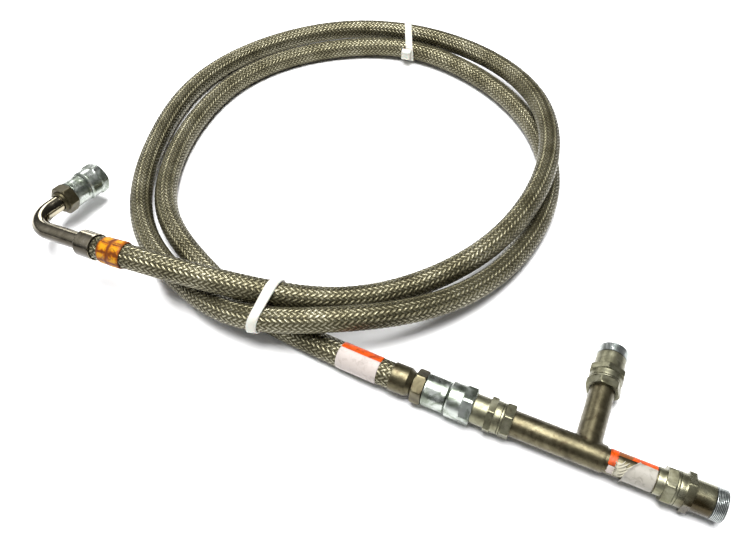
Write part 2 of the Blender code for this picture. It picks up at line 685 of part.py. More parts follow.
def make_tee(run_axis, branch_axis, end_axis):
    union_reach = tube_reach()
    tee = add_piece("tee_pipe", profile_mesh("tee_pipe", rod_profile(RUN_R, -STUB_SEAM, union_reach), ()),
                    "patina", run_axis)
    turned_mesh(tee, ROUND_SIDES)
    combine(tee, turned_cutter("branch_tube", branch_axis, rod_profile(BRANCH_R, 0.0, union_reach)), "UNION")
    combine(tee, turned_cutter("run_bore", run_axis, rod_profile(
        RUN_R - TUBE_WALL, -STUB_SEAM - CUT_OVERRUN, union_reach + CUT_OVERRUN), BORE_SIDES))
    combine(tee, turned_cutter("branch_bore", branch_axis, rod_profile(
        BRANCH_R - TUBE_WALL, 0.0, union_reach + CUT_OVERRUN), BORE_SIDES))
    combine(tee, turned_cutter("stub_socket", end_axis, rod_profile(
        STUB_R + GAP, STUB_SEAM - STUB_SOCKET, STUB_SEAM + CUT_OVERRUN)))
    stub_start = STUB_SEAM - STUB_SOCKET + GAP
    turned("tee_stub", "patina", end_axis,
           [(STUB_R, stub_start), (STUB_R, tube_reach())],
           [(STUB_R - TUBE_WALL, stub_start), (STUB_R - TUBE_WALL, tube_reach())])
    label_near = STUB_SEAM + LABEL_ON_STUB
    rings = []
    for distance in (label_near, male_heights()[3] - END_NECK - LABEL_TO_NECK):
        centre = Vector((TEE_CENTRE[0] + distance, TEE_CENTRE[1], RUN_HEIGHT))
        rings.append((centre, Vector((0.0, -1.0, 0.0)), Vector((0.0, 0.0, 1.0))))
    wrap("tee_label", "label", rings, STUB_R + GAP, LABEL_ARC, SKIN_THICK)


# Straight end of the hose

def straight_end():
    """X of the nut's shoulder, of the nipple hex's hose side and of the hose's end, along the run."""
    shoulder = TEE_CENTRE[0] - TEE_REACH - GAP - BARREL_LENGTH
    hex_rear = shoulder - UNION_BACK - GAP - NIPPLE_HEX
    ferrule_mouth = hex_rear - NIPPLE_NECK - GAP - FERRULE_LENGTH
    return shoulder, hex_rear, ferrule_mouth + FERRULE_GRIP


def make_straight_end(axis):
    """The nipple and the crimped ferrule, on the union's axis with Z = 0 at the shoulder."""
    shoulder, hex_rear, hose_end = straight_end()
    hex_bottom = hex_rear - shoulder
    hex_top = -UNION_BACK - GAP
    neck_bottom = hex_bottom - NIPPLE_NECK
    stop = hose_end - shoulder + GAP
    nipple = turned("hose_nipple", "patina", axis, [
        (NIPPLE_TAIL_R, stop), (NIPPLE_TAIL_R, neck_bottom), (NIPPLE_NECK_R, neck_bottom),
        (NIPPLE_NECK_R, hex_bottom), (ADAPTER_CORNER_R - HEX_CHAMFER, hex_bottom),
        (ADAPTER_CORNER_R, hex_bottom + HEX_CHAMFER), (ADAPTER_CORNER_R, hex_top - HEX_CHAMFER),
        (ADAPTER_CORNER_R - HEX_CHAMFER, hex_top), (SPIGOT_R, hex_top), (SPIGOT_R, -UNION_BACK + SPIGOT),
    ], [(NIPPLE_BORE_R, stop), (NIPPLE_BORE_R, -UNION_BACK + SPIGOT)])
    hex_trim(nipple, axis, HEX_ADAPTER_FLAT, hex_bottom - CUT_OVERRUN, hex_top + CUT_OVERRUN, NIPPLE_TURN)
    top = neck_bottom - GAP
    mouth = top - FERRULE_LENGTH
    turned("hose_ferrule", "patina", axis,
           [(FERRULE_R, mouth), (FERRULE_R, top - FERRULE_TAPER), (NIPPLE_NECK_R, top)],
           [(HOSE_R + GAP, mouth), (HOSE_R + GAP, stop), (NIPPLE_TAIL_R + GAP, stop), (NIPPLE_TAIL_R + GAP, top)])


# Elbow end

def elbow_directions():
    """The hose leg's direction away from the corner, and the coupling leg's, at a right angle to it."""
    heading = math.radians(ELBOW_HEADING)
    pitch = math.radians(ELBOW_PITCH)
    droop = math.radians(ELBOW_DROOP)
    hose_leg = Vector((math.cos(pitch) * math.cos(heading), math.cos(pitch) * math.sin(heading), math.sin(pitch)))
    level = Vector((-math.sin(heading), math.cos(heading), 0.0))
    coupling_leg = level * math.cos(droop) + hose_leg.cross(level) * math.sin(droop)
    return hose_leg, coupling_leg


def bent_tube(name, radius, hose_leg, coupling_leg, hose_end, coupling_end):
    """A tube with one right-angled bend at the elbow's corner, as a closed mesh."""
    corner = Vector(ELBOW_CORNER)
    centre = corner + (hose_leg + coupling_leg) * ELBOW_BEND_R
    points = [corner + hose_leg * hose_end]
    for i in range(TUBE_RINGS + 1):
        angle = math.pi / 2 * i / TUBE_RINGS
        points.append(centre - (coupling_leg * math.cos(angle) + hose_leg * math.sin(angle)) * ELBOW_BEND_R)
    points.append(corner + coupling_leg * coupling_end)
    return mesh_from_curve(wire_curve(name, points, radius, 6))


def make_elbow_end(hose_axis, coupling_axis, hose_leg, coupling_leg):
    web = COLLAR_AT + COLLAR_LENGTH - COLLAR_GRIP - COLLAR_WEB
    mouth = COLLAR_AT + COLLAR_LENGTH
    turned("elbow_ferrule", "stainless", hose_axis, [
        (ELBOW_TUBE_R + COLLAR_LIP, COLLAR_AT - COLLAR_LIP), (ELBOW_TUBE_R + COLLAR_LIP, COLLAR_AT),
        (COLLAR_R - BODY_CHAMFER, COLLAR_AT), (COLLAR_R, COLLAR_AT + BODY_CHAMFER), (COLLAR_R, mouth),
    ], [(ELBOW_TUBE_R + GAP, COLLAR_AT - COLLAR_LIP), (ELBOW_TUBE_R + GAP, web),
        (ELBOW_TUBE_R - ELBOW_TUBE_WALL, web), (ELBOW_TUBE_R - ELBOW_TUBE_WALL, web + COLLAR_WEB),
        (HOSE_R + GAP, web + COLLAR_WEB), (HOSE_R + GAP, mouth)])
    hex_top = -ELBOW_BACK - GAP
    hex_bottom = hex_top - ELBOW_HEX
    sleeve_bottom = hex_bottom - ELBOW_SLEEVE
    tube_end = sleeve_bottom + TUBE_SEAT
    adapter = turned("elbow_hex_adapter", "patina", coupling_axis, [
        (ELBOW_SLEEVE_R - HEX_CHAMFER, sleeve_bottom), (ELBOW_SLEEVE_R, sleeve_bottom + HEX_CHAMFER),
        (ELBOW_SLEEVE_R, hex_bottom), (ADAPTER_CORNER_R - HEX_CHAMFER, hex_bottom),
        (ADAPTER_CORNER_R, hex_bottom + HEX_CHAMFER), (ADAPTER_CORNER_R, hex_top - HEX_CHAMFER),
        (ADAPTER_CORNER_R - HEX_CHAMFER, hex_top), (SPIGOT_R, hex_top), (SPIGOT_R, -ELBOW_BACK + SPIGOT),
    ], [(ELBOW_TUBE_R + GAP, sleeve_bottom), (ELBOW_TUBE_R + GAP, tube_end), (SPIGOT_BORE_R, tube_end),
        (SPIGOT_BORE_R, -ELBOW_BACK + SPIGOT)])
    hex_trim(adapter, coupling_axis, HEX_ADAPTER_FLAT, hex_bottom - CUT_OVERRUN, hex_top + CUT_OVERRUN,
             ELBOW_HEX_TURN)
    hose_end = web - GAP
    coupling_end = ELBOW_SHOULDER_AT + tube_end - GAP
    tube = add_piece("elbow_tube", bent_tube("elbow_tube", ELBOW_TUBE_R, hose_leg, coupling_leg,
                                             hose_end, coupling_end), "stainless")
    bore = bent_tube("elbow_bore", ELBOW_TUBE_R - ELBOW_TUBE_WALL, hose_leg, coupling_leg,
                     hose_end + CUT_OVERRUN, coupling_end + CUT_OVERRUN)
    combine(tube, add_cutter("elbow_bore", bore))


def build():
    up = (0.0, 0.0, 1.0)
    tee_centre = Vector((*TEE_CENTRE, RUN_HEIGHT))
    hose_leg, coupling_leg = elbow_directions()
    corner = Vector(ELBOW_CORNER)
    run_axis = add_axis("tee_run_axis", tee_centre, (-1.0, 0.0, 0.0), up)
    branch_axis = add_axis("tee_branch_axis", tee_centre, (0.0, 1.0, 0.0), up)
    end_axis = add_axis("tee_end_axis", tee_centre, (1.0, 0.0, 0.0), up)
    shoulder, _, hose_end = straight_end()
    union_axis = add_axis("union_axis", Vector((shoulder, TEE_CENTRE[1], RUN_HEIGHT)), (1.0, 0.0, 0.0), up)
    hose_leg_axis = add_axis("elbow_hose_axis", corner, hose_leg, up)
    coupling_axis = add_axis("elbow_coupling_axis", corner + coupling_leg * ELBOW_SHOULDER_AT, coupling_leg, up)

    route = Route(corner + hose_leg * (COLLAR_AT + COLLAR_LENGTH - COLLAR_GRIP + GAP), hose_leg,
                  Vector((hose_end, TEE_CENTRE[1], RUN_HEIGHT)), Vector((1.0, 0.0, 0.0)))
    make_hose(route)
    make_hose_skins(route)
    make_tie("cable_tie_top", route, TOP_TIE_AT, TOP_TIE_HEAD)
    make_tie("cable_tie_front", route, FRONT_TIE_AT, FRONT_TIE_HEAD)
    make_elbow_end(hose_leg_axis, coupling_axis, hose_leg, coupling_leg)
    make_female_half("elbow", coupling_axis, ELBOW_BACK, False, ELBOW_NUT_TURN)
    make_straight_end(union_axis)
    make_female_half("union", union_axis, UNION_BACK, True, UNION_NUT_TURN)
    make_tee(run_axis, branch_axis, end_axis)
    make_male_half("union", run_axis, RUN_R, True, UNION_ARM_TURNS)
    make_male_half("branch", branch_axis, BRANCH_R, False, BRANCH_ARM_TURNS)
    make_male_half("end", end_axis, STUB_R, False, END_ARM_TURNS, (END_NECK_R, END_NECK))


clear_scene()
parts = make_collection(PART_NAME)
cutters = make_collection("cutters")
finishes = make_finishes()
build()
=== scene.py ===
"""The cryogenic hose as in the photograph: a steel-braided helium line in two loops on a white surface.

Metres, in the part's own frame: +X along the tee's run, +Y along its branch, the floor at Z = 0.
"""

import json
import math
from itertools import product

import bmesh
import bpy
import numpy as np
from mathutils import Matrix, Vector


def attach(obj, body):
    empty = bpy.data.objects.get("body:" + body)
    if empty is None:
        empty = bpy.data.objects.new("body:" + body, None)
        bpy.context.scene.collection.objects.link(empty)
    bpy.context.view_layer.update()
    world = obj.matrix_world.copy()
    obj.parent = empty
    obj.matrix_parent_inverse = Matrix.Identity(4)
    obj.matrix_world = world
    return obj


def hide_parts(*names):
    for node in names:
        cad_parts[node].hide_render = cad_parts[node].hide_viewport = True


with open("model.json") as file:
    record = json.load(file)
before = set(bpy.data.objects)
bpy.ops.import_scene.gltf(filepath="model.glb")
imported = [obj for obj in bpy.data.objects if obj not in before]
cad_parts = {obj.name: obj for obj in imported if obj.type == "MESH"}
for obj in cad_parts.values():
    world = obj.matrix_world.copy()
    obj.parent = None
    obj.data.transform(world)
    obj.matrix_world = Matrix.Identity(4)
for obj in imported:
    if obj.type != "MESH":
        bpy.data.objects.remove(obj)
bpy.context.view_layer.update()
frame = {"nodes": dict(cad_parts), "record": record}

# Camera, fitted to the photograph
CAMERA_AT = (0.1745, -0.3154, 0.4965)
CAMERA_LOOK = (-0.27270, 0.58942, -0.76041)
CAMERA_RIGHT = (0.9076, 0.4199, 0.0)
SENSOR_WIDTH = 36.0
FOCAL_SHARE = 682 / 750     # focal length over picture width
CLIP = (0.01, 20.0)         # nearest and furthest that the camera sees

# Studio
LIGHTS = (                  # name, place, aim, width and depth, watts
    ("overhead_softbox", (-0.10, 0.08, 2.00), (0.0, 0.12, 0.0), (1.6, 1.1), 115.0),
    ("left_softbox", (-1.40, 1.20, 0.80), (0.0, 0.15, 0.0), (0.5, 0.9), 8.0),
)
FLOOR_REACH = 4.0
ROOM_BRIGHT_SIDE = (-0.60, -0.35, 1.0)
ROOM_LEVELS = (             # from facing away from that side to facing it
    (0.0, 0.02), (0.60, 0.04), (0.78, 0.10), (0.90, 0.35), (1.0, 0.75),
)
ROOM_BLUE = 1.03            # blue over red and green

GAP = 0.0003                # clearance that touching pieces keep
EDGE = 0.00025              # rounding of turned edges
SECTOR_STEPS = (0.0, 0.35, 0.9, 1.8, 3.2, 5.5, 9.0, 15.0, 22.0)     # degrees from a hex corner
HEX_SHARPNESS = 44          # power that leaves a hex's corners only slightly rounded

# Hose
HOSE_R = 0.0110
CORE_R = 0.0101
CORE_STEP = 0.005
SKIN_THICK = 0.0003
LABEL_THICK = 0.00021
COLLAR_GRIP = 0.0120
FERRULE_GRIP = 0.0107

# Amber tape: distances along the hose, from its end in the elbow ferrule
TAPE_START = 0.0198
TAPE_LENGTH = 0.0225
TAPE_DOMES = (2, 8)         # blisters painted on the film, along the hose and round it
TAPE_LIFT = 0.00035         # each of its two turns
TAPE_LUMPS = 0.00045
TAPE_RAGGED = 0.0009

# Hose label
LABEL_FROM_END = 0.0215
LABEL_LENGTH = 0.0370
LABEL_ARC = (-50.0, 125.0)  # degrees from straight up towards the front
LABEL_BAND_TO = -4.0        # where the orange band ends and the white field begins
FILM_RIPPLE = 0.00006

# Braid: ribbons of fine wires, woven two over and two under
CARRIERS = 20               # ribbons in each direction
BRAID_LAY = 0.104           # length in which a ribbon goes once round
RIBBON_WIDTH = 0.0027
RIBBON_WIRES = 8
RIBBON_HEIGHTS = (-0.00050, 0.0, 0.0, -0.00050)
RIBBON_PLACES = (-0.5, -0.2, 0.2, 0.5)
BRAID_MID = 0.01080
BRAID_SWING = 0.00030
BRAID_PIECES = 4
BRAID_TUCK = 0.0030         # how far the braid goes on inside the crimped ferrule
WIRE_R = 0.00016
FRAYED_AT = (               # distance and number of wires
    (TAPE_START - 0.0015, 10), (TAPE_START + TAPE_LENGTH + 0.002, 5),
)

# Cable ties
TIE_WIDTH = 0.0088
TIE_THICK = 0.0016
TIE_ROOM = 0.0005
TIE_EDGE = 0.0005
TIE_STEPS = 22              # round half of a strand
TIE_HEAD = (0.0064, 0.0135, 0.0140)     # height, along the strap, across it
TIE_HEAD_BEVEL = 0.0011
TIE_HEAD_RIM = 0.0016
TIE_HEAD_HOLLOW = 0.0012
TIES = (                    # name, distances of its two strands along the hose, degrees to its head
    ("cable_tie_top", (2.2897, 0.8572), 20.0),
    ("cable_tie_front", (0.1772, 1.6004), -45.0),
)

# Straight end
FERRULE_R = 0.0122
FERRULE_LENGTH = 0.0185
FERRULE_TAPER = 0.0046
FERRULE_EDGE = 0.0006
NIPPLE_NECK_R = 0.0097
NIPPLE_NECK = 0.0010
NIPPLE_TAIL_R = 0.0060
NIPPLE_BORE_R = 0.0045
NIPPLE_HEX = 0.0088

# Elbow end
ELBOW_CORNER = (-0.3100, -0.0450, 0.0370)
ELBOW_HEADING = -2.0
ELBOW_PITCH = 8.0
ELBOW_DROOP = -7.0
ELBOW_TUBE_R = 0.0080
ELBOW_TUBE_WALL = 0.0014
ELBOW_BEND_R = 0.0280
COLLAR_AT = 0.0725
COLLAR_R = 0.01225
COLLAR_LENGTH = 0.0190
COLLAR_LIP = 0.0020
COLLAR_WEB = 0.0020
COLLAR_EDGE = 0.0004
ELBOW_SHOULDER_AT = 0.0692
ELBOW_HEX = 0.0105
ELBOW_SLEEVE_R = 0.0108
ELBOW_SLEEVE = 0.0030
TUBE_SEAT = 0.0060
# the side that the tube's painted shade faces
TUBE_PAINTED_SHADE_SIDE = (-0.35, -0.85, -0.40)

# Female coupling half
HEX_ADAPTER_FLAT = 0.0127
BODY_R = 0.0133
BODY_FLAT = 0.0128
BODY_CHAMFER = 0.0008
UNION_BACK = 0.0194
ELBOW_BACK = 0.0174
BARREL_R = 0.0102
BARREL_LENGTH = 0.0101
CHAMBER_R = 0.0088
SPIGOT = 0.0040
SPIGOT_R = CHAMBER_R - GAP
SPIGOT_BORE_R = 0.0064
NUT_LENGTH = 0.0216
NUT_R = 0.0147
NUT_FLAT = 0.0143
NUT_CORNER_R = 0.0159
NUT_HEX = 0.0095
NUT_LIP = 0.0028
NUT_CHAMFER = 0.0015
NUT_RIM = 0.0004
MOUTH_CHAMFER = 0.0006
RING_THICK = 0.0014
RING_DEPTH = 0.0006
GASKET_THICK = 0.0009
STEP_WIDTH = 0.00002        # half the height in which round turns into flats

# Tee and male coupling half
TEE_CENTRE = (0.2220, -0.0400)
RUN_R = 0.01065
BRANCH_R = 0.0100
STUB_R = 0.0095
TUBE_WALL = 0.0016
STUB_SEAM = 0.0142
STUB_SOCKET = 0.0040
SADDLE_FLARE = 0.0030
SADDLE_SINK = 0.0001
TEE_REACH = 0.1003
THREAD_R = 0.0124
THREAD_PITCH = 0.00106
THREAD_DEPTH = 0.00060
THREAD_LENGTH = 0.0086
MALE_R = 0.0121
MALE_CHAMFER = 0.0012
MALE_BARREL = 0.0145
FLANGE_FLAT = 0.0135
FLANGE_CORNER_R = 0.0156
FLANGE_LENGTH = 0.0052
SKIRT_R = 0.0131
SKIRT_LENGTH = 0.0052
WASHER_THICK = 0.0016
ADAPTER_HEX = 0.0073
ADAPTER_CORNER_R = 0.01466
END_NECK_R = 0.0104
END_NECK = 0.0055
HEX_CHAMFER = 0.0010
POPPET_NOSE = 0.0030
HEAD_R = 0.0050
GUIDE_FROM_FACE = 0.0173
SPIDER_THICK = 0.0020
STAIN_AT = (0.3040, -0.0512, 0.0160)
STAIN_REACH = 0.0215

# How each hex is turned, in degrees from straight up to a corner; an arm's are its flange and its adapter
UNION_NUT_TURN = 17.0
ELBOW_NUT_TURN = 12.0
ELBOW_HEX_TURN = 23.0
NIPPLE_TURN = -4.0
BODY_TURN = 4.0
UNION_ARM_TURNS = (-23.0, -18.0)
END_ARM_TURNS = (4.0, 32.0)
BRANCH_ARM_TURNS = (-8.0, -20.0)
RUN_HEIGHT = FLANGE_CORNER_R * math.cos(math.radians(END_ARM_TURNS[0]))

# Tee label: distances are from the tee's centre, angles in degrees from straight up towards the front
LABEL_FROM_SEAM = 0.0023
LABEL_TO_NECK = 0.0010
STRIP_WIDTH = 0.0062
BROWN_EDGE_END = 0.0325
UPPER_ARC = (-50.0, -14.0)
TORN_EDGE = ((-16.0, 0.0372), (-5.0, 0.0362), (15.0, 0.0325), (45.0, 0.0296), (70.0, 0.0284), (125.0, 0.0272))
FILM_FOLDS = (              # distance and angle at both ends of each fold of film
    ((0.0352, 0.0), (0.0236, 58.0)), ((0.0310, 2.0), (0.0226, 46.0)), ((0.0276, 2.0), (0.0228, 34.0)),
    ((0.0312, 26.0), (0.0240, 72.0)), ((0.0296, 44.0), (0.0250, 84.0)),
)
FOLD_BOW = 0.0011           # along the tube, at a fold's middle
FOLD_RISE = 0.0009
FOLD_R = (0.0001, 0.00045)  # at its ends, and what its middle adds

# The hose's route between its ferrules
ROUTE = [
    (-0.158, -0.044, 0.0510), (-0.077, -0.0285, 0.0440), (-0.008, 0.000, 0.0328),
    (0.051, 0.053, 0.0275), (0.093, 0.122, 0.0300), (0.110, 0.197, 0.0340),
    (0.103, 0.278, 0.0350), (0.071, 0.348, 0.0335), (0.015, 0.403, 0.0285),
    (-0.057, 0.434, 0.0245), (-0.136, 0.439, 0.0215), (-0.212, 0.417, 0.0170),
    (-0.272, 0.368, 0.0130), (-0.310, 0.299, 0.0115), (-0.320, 0.222, 0.0115),
    (-0.304, 0.144, 0.0115), (-0.273, 0.071, 0.0115), (-0.227, 0.013, 0.0130),
    (-0.155, -0.029, 0.0185), (-0.079, -0.0475, 0.0293), (-0.005, -0.028, 0.0393),
    (0.057, 0.020, 0.0300), (0.101, 0.088, 0.0170), (0.120, 0.163, 0.0120),
    (0.117, 0.242, 0.0115), (0.087, 0.312, 0.0115), (0.034, 0.368, 0.0115),
    (-0.040, 0.406, 0.0128), (-0.115, 0.415, 0.0143), (-0.188, 0.389, 0.0125),
    (-0.247, 0.336, 0.0115), (-0.279, 0.268, 0.0115), (-0.282, 0.187, 0.0115),
    (-0.262, 0.109, 0.0120), (-0.223, 0.044, 0.0130), (-0.157, 0.000, 0.0135),
    (-0.082, -0.027, 0.0115), (-0.004, -0.036, 0.0120),
]


# Materials

class Paint:
    """The nodes of a material or a world, with short calls for those that feed its shader."""

    def __init__(self, owner, shader="Principled BSDF"):
        self.owner = owner
        owner.use_nodes = True
        self.tree = owner.node_tree
        self.shader = self.tree.nodes[shader]
        self.coordinates = self.tree.nodes.new("ShaderNodeTexCoord").outputs

    def feed(self, socket, value):
        """Link another node's output to the socket, or set the socket's own number, vector or colour."""
        if isinstance(value, bpy.types.NodeSocket):
            self.tree.links.new(value, socket)
        else:
            socket.default_value = (*value, 1.0) if socket.type == "RGBA" else value

    def node(self, kind, output, inputs, **settings):
        """A new node with its settings and inputs; it gives back one of its outputs."""
        made = self.tree.nodes.new(kind)
        for key, value in settings.items():
            setattr(made, key, value)
        for key, value in inputs.items():
            self.feed(made.inputs[key], value)
        return made.outputs[output]

    def noise(self, scale, detail=4.0, roughness=0.6, distortion=0.0):
        return self.node("ShaderNodeTexNoise", "Fac", {
            "Scale": scale, "Detail": detail, "Roughness": roughness, "Distortion": distortion,
            "Vector": self.coordinates["Object"]})

    def ramp(self, source, *stops):
        """A colour ramp; a stop is a position and either a grey value or three values."""
        made = self.tree.nodes.new("ShaderNodeValToRGB")
        ramp = made.color_ramp
        while len(ramp.elements) < len(stops):
            ramp.elements.new(0.5)
        for element, (position, colour) in zip(ramp.elements, stops):
            element.position = position
            element.color = (*((colour,) * 3 if isinstance(colour, float) else colour), 1.0)
        self.feed(made.inputs["Fac"], source)
        return made.outputs["Color"]

    def mix(self, share, first, second):
        return self.node("ShaderNodeMix", "Result", {"Factor": share, "A": first, "B": second},
                         data_type="RGBA")

    def math(self, operation, *values):
        return self.node("ShaderNodeMath", "Value", dict(enumerate(values)), operation=operation)

    def vector_math(self, operation, coordinate, other):
        return self.node("ShaderNodeVectorMath", "Value", {0: self.coordinates[coordinate], 1: other},
                         operation=operation)

    def wave(self, value, count, peak):
        """A cosine between 0 and 1, with so many periods for each unit and its top at the peak."""
        turns = self.math("MULTIPLY", self.math("SUBTRACT", value, peak), 2 * math.pi * count)
        return self.math("MULTIPLY_ADD", self.math("COSINE", turns), 0.5, 0.5)

    def uv(self):
        made = self.tree.nodes.new("ShaderNodeSeparateXYZ")
        self.feed(made.inputs["Vector"], self.coordinates["UV"])
        return made.outputs["X"], made.outputs["Y"]

    def set(self, **values):
        for key, value in values.items():
            self.feed(self.shader.inputs[key.replace("_", " ")], value)

    def bump(self, height, strength, distance=0.0002):
        self.set(Normal=self.node("ShaderNodeBump", "Normal", {
            "Strength": strength, "Distance": distance, "Height": height}))


def new_paint(name):
    return Paint(bpy.data.materials.new(name))


def metal(name, colours, roughness, cover, share, *share_values, metallic=1.0, tooth=0.12):
    """Metal with cloudy tarnish between three colours and a cover where the share function says."""
    paint = new_paint(name)
    clean = paint.ramp(paint.noise(95.0, 5.0, 0.62, 0.6), *zip((0.32, 0.52, 0.72), colours))
    gloss = paint.ramp(paint.noise(260.0, 3.0), *zip((0.3, 0.7), roughness))
    paint.set(Base_Color=paint.mix(share(paint, *share_values), clean, cover), Metallic=metallic,
              Roughness=gloss)
    paint.bump(paint.noise(420.0, 6.0, 0.7), tooth)
    return paint.owner


def dirt_share(paint, most):
    """Spots of dirt."""
    return paint.ramp(paint.noise(190.0, 6.0, 0.72, 0.4), (0.54, 0.0), (0.66, most))


def painted_shade_share(paint):
    """Painted shade: where a near-black band, standing for a dark reflection, covers the outer and lower side
    of the tube.
    """
    facing = paint.vector_math("DOT_PRODUCT", "Normal", TUBE_PAINTED_SHADE_SIDE)
    uneven = paint.math("ADD", facing, paint.math("MULTIPLY", paint.noise(60.0, 3.0), 0.3))
    return paint.ramp(uneven, (0.50, 0.0), (0.72, 0.92))


def stain_share(paint):
    """A ragged stain on one side of a fitting."""
    away = paint.vector_math("DISTANCE", "Object", STAIN_AT)
    ragged = paint.math("ADD", away, paint.math("MULTIPLY", paint.noise(300.0, 5.0, 0.7), 0.008))
    return paint.ramp(paint.math("DIVIDE", ragged, STAIN_REACH), (0.60, 0.97), (1.0, 0.0))


def zinc_material():
    """Zinc plate in bright and dull patches with small dirty dents."""
    paint = new_paint("bright_zinc")
    patches = paint.ramp(paint.noise(75.0, 5.0, 0.62, 0.9), (0.40, (0.15, 0.17, 0.135)),
                         (0.50, (0.25, 0.275, 0.24)), (0.58, (0.38, 0.405, 0.375)))
    specks = paint.ramp(paint.noise(420.0, 3.0, 0.7), (0.66, 0.0), (0.74, 0.6))
    paint.set(Base_Color=paint.mix(specks, patches, (0.04, 0.04, 0.03)), Metallic=0.95,
              Roughness=paint.ramp(paint.noise(110.0), (0.40, 0.27), (0.62, 0.42)))
    paint.bump(paint.noise(140.0), 0.22, 0.0008)
    return paint.owner


def thread_material():
    """Zinc, darker the deeper a point lies in the groove; the U of a point is its depth in the groove."""
    paint = new_paint("zinc_thread")
    depth, _ = paint.uv()
    clean = paint.ramp(paint.noise(120.0), (0.35, (0.42, 0.45, 0.44)), (0.65, (0.56, 0.59, 0.58)))
    # darker towards the bottom of the groove
    dirt = paint.ramp(depth, (0.15, 0.0), (0.80, 0.92))
    paint.set(Base_Color=paint.mix(dirt, clean, (0.03, 0.035, 0.03)), Metallic=0.9, Roughness=0.28)
    paint.bump(paint.noise(700.0), 0.08)
    return paint.owner


def braid_material():
    """Bright wire on the crown and middle of each ribbon, part wear and part painted light, falling to dull
    oily grime with painted shade where a ribbon dives under and towards its edges; darker lines between the
    wires.
    """
    paint = new_paint("braid_wire")
    across, along = paint.uv()
    wires = paint.wave(across, RIBBON_WIRES, 0.0)
    crown = paint.ramp(paint.wave(along, 1.0, 0.125), (0.50, 0.0), (0.95, 1.0))
    middle = paint.ramp(paint.wave(across, 1.0, 0.5), (0.25, 0.05), (0.80, 1.0))
    # painted light and shade: bright steel on crowns and ribbon middles, grime darkened as shade where a
    # ribbon dives under and at its edges
    rubbed_and_lit = paint.math("MULTIPLY", crown, middle)
    patches = paint.noise(38.0, 5.0)
    steel = paint.ramp(patches, (0.32, (0.165, 0.150, 0.088)), (0.50, (0.27, 0.25, 0.165)),
                       (0.70, (0.38, 0.36, 0.27)))
    grime_and_shade = paint.ramp(patches, (0.35, (0.033, 0.028, 0.012)), (0.65, (0.078, 0.070, 0.036)))
    between = paint.ramp(wires, (0.0, 0.7), (0.5, 0.0))
    paint.set(Base_Color=paint.mix(between, paint.mix(rubbed_and_lit, grime_and_shade, steel), (0.03, 0.027, 0.014)),
              Metallic=0.85, Roughness=paint.ramp(rubbed_and_lit, (0.0, 0.48), (1.0, 0.24)))
    paint.bump(wires, 0.5, 0.00012)
    return paint.owner


def tape_material():
    """Amber film with painted blisters: painted light makes each yellow at its top, and painted shade makes
    it orange lower down and brown in the creases between, with patches of brown glue.
    """
    paint = new_paint("amber_film")
    drift = paint.math("SUBTRACT", paint.noise(110.0, 3.0), 0.5)
    rounds = []
    for value, share, count, peak in zip(paint.uv(), (0.34, 0.10), TAPE_DOMES, (0.25, 0.06)):
        wave = paint.wave(paint.math("ADD", value, paint.math("MULTIPLY", drift, share)), count, peak)
        rounds.append(paint.math("POWER", wave, 0.5))
    # painted light and shade: each blister yellow at its top, orange to brown lower down and in the creases
    painted_blister_light_and_shade = paint.ramp(paint.math("MINIMUM", *rounds), (0.22, (0.10, 0.024, 0.002)),
                       (0.46, (0.24, 0.065, 0.001)), (0.62, (0.34, 0.125, 0.001)),
                       (0.86, (0.40, 0.190, 0.002)))
    glue = paint.ramp(paint.noise(170.0, 4.0, 0.7, 1.2), (0.57, 0.0), (0.65, 0.85))
    paint.set(Base_Color=paint.mix(glue, painted_blister_light_and_shade, (0.10, 0.024, 0.002)), Roughness=0.5, Specular_IOR_Level=0.15)
    paint.bump(paint.noise(330.0), 0.35, 0.0003)
    return paint.owner


def label_material(name, field, dirt, share):
    """Film with handling dirt and small creases."""
    paint = new_paint(name)
    stain = paint.ramp(paint.noise(170.0, 6.0, 0.68, 0.8), (0.50, 0.0), (0.74, share))
    paint.set(Base_Color=paint.mix(stain, field, dirt), Specular_IOR_Level=0.25,
              Roughness=paint.ramp(paint.noise(90.0), (0.3, 0.34), (0.7, 0.55)))
    paint.bump(paint.noise(260.0), 0.25, 0.0003)
    return paint.owner


def plain_material(name, scale, colours, grain=None, **settings):
    """A material that wavers between two colours; grain is its bumps' scale, detail and strength."""
    paint = new_paint(name)
    paint.set(Base_Color=paint.ramp(paint.noise(scale), *zip((0.3, 0.7), colours)), **settings)
    if grain:
        paint.bump(paint.noise(*grain[:2]), grain[2])
    return paint.owner


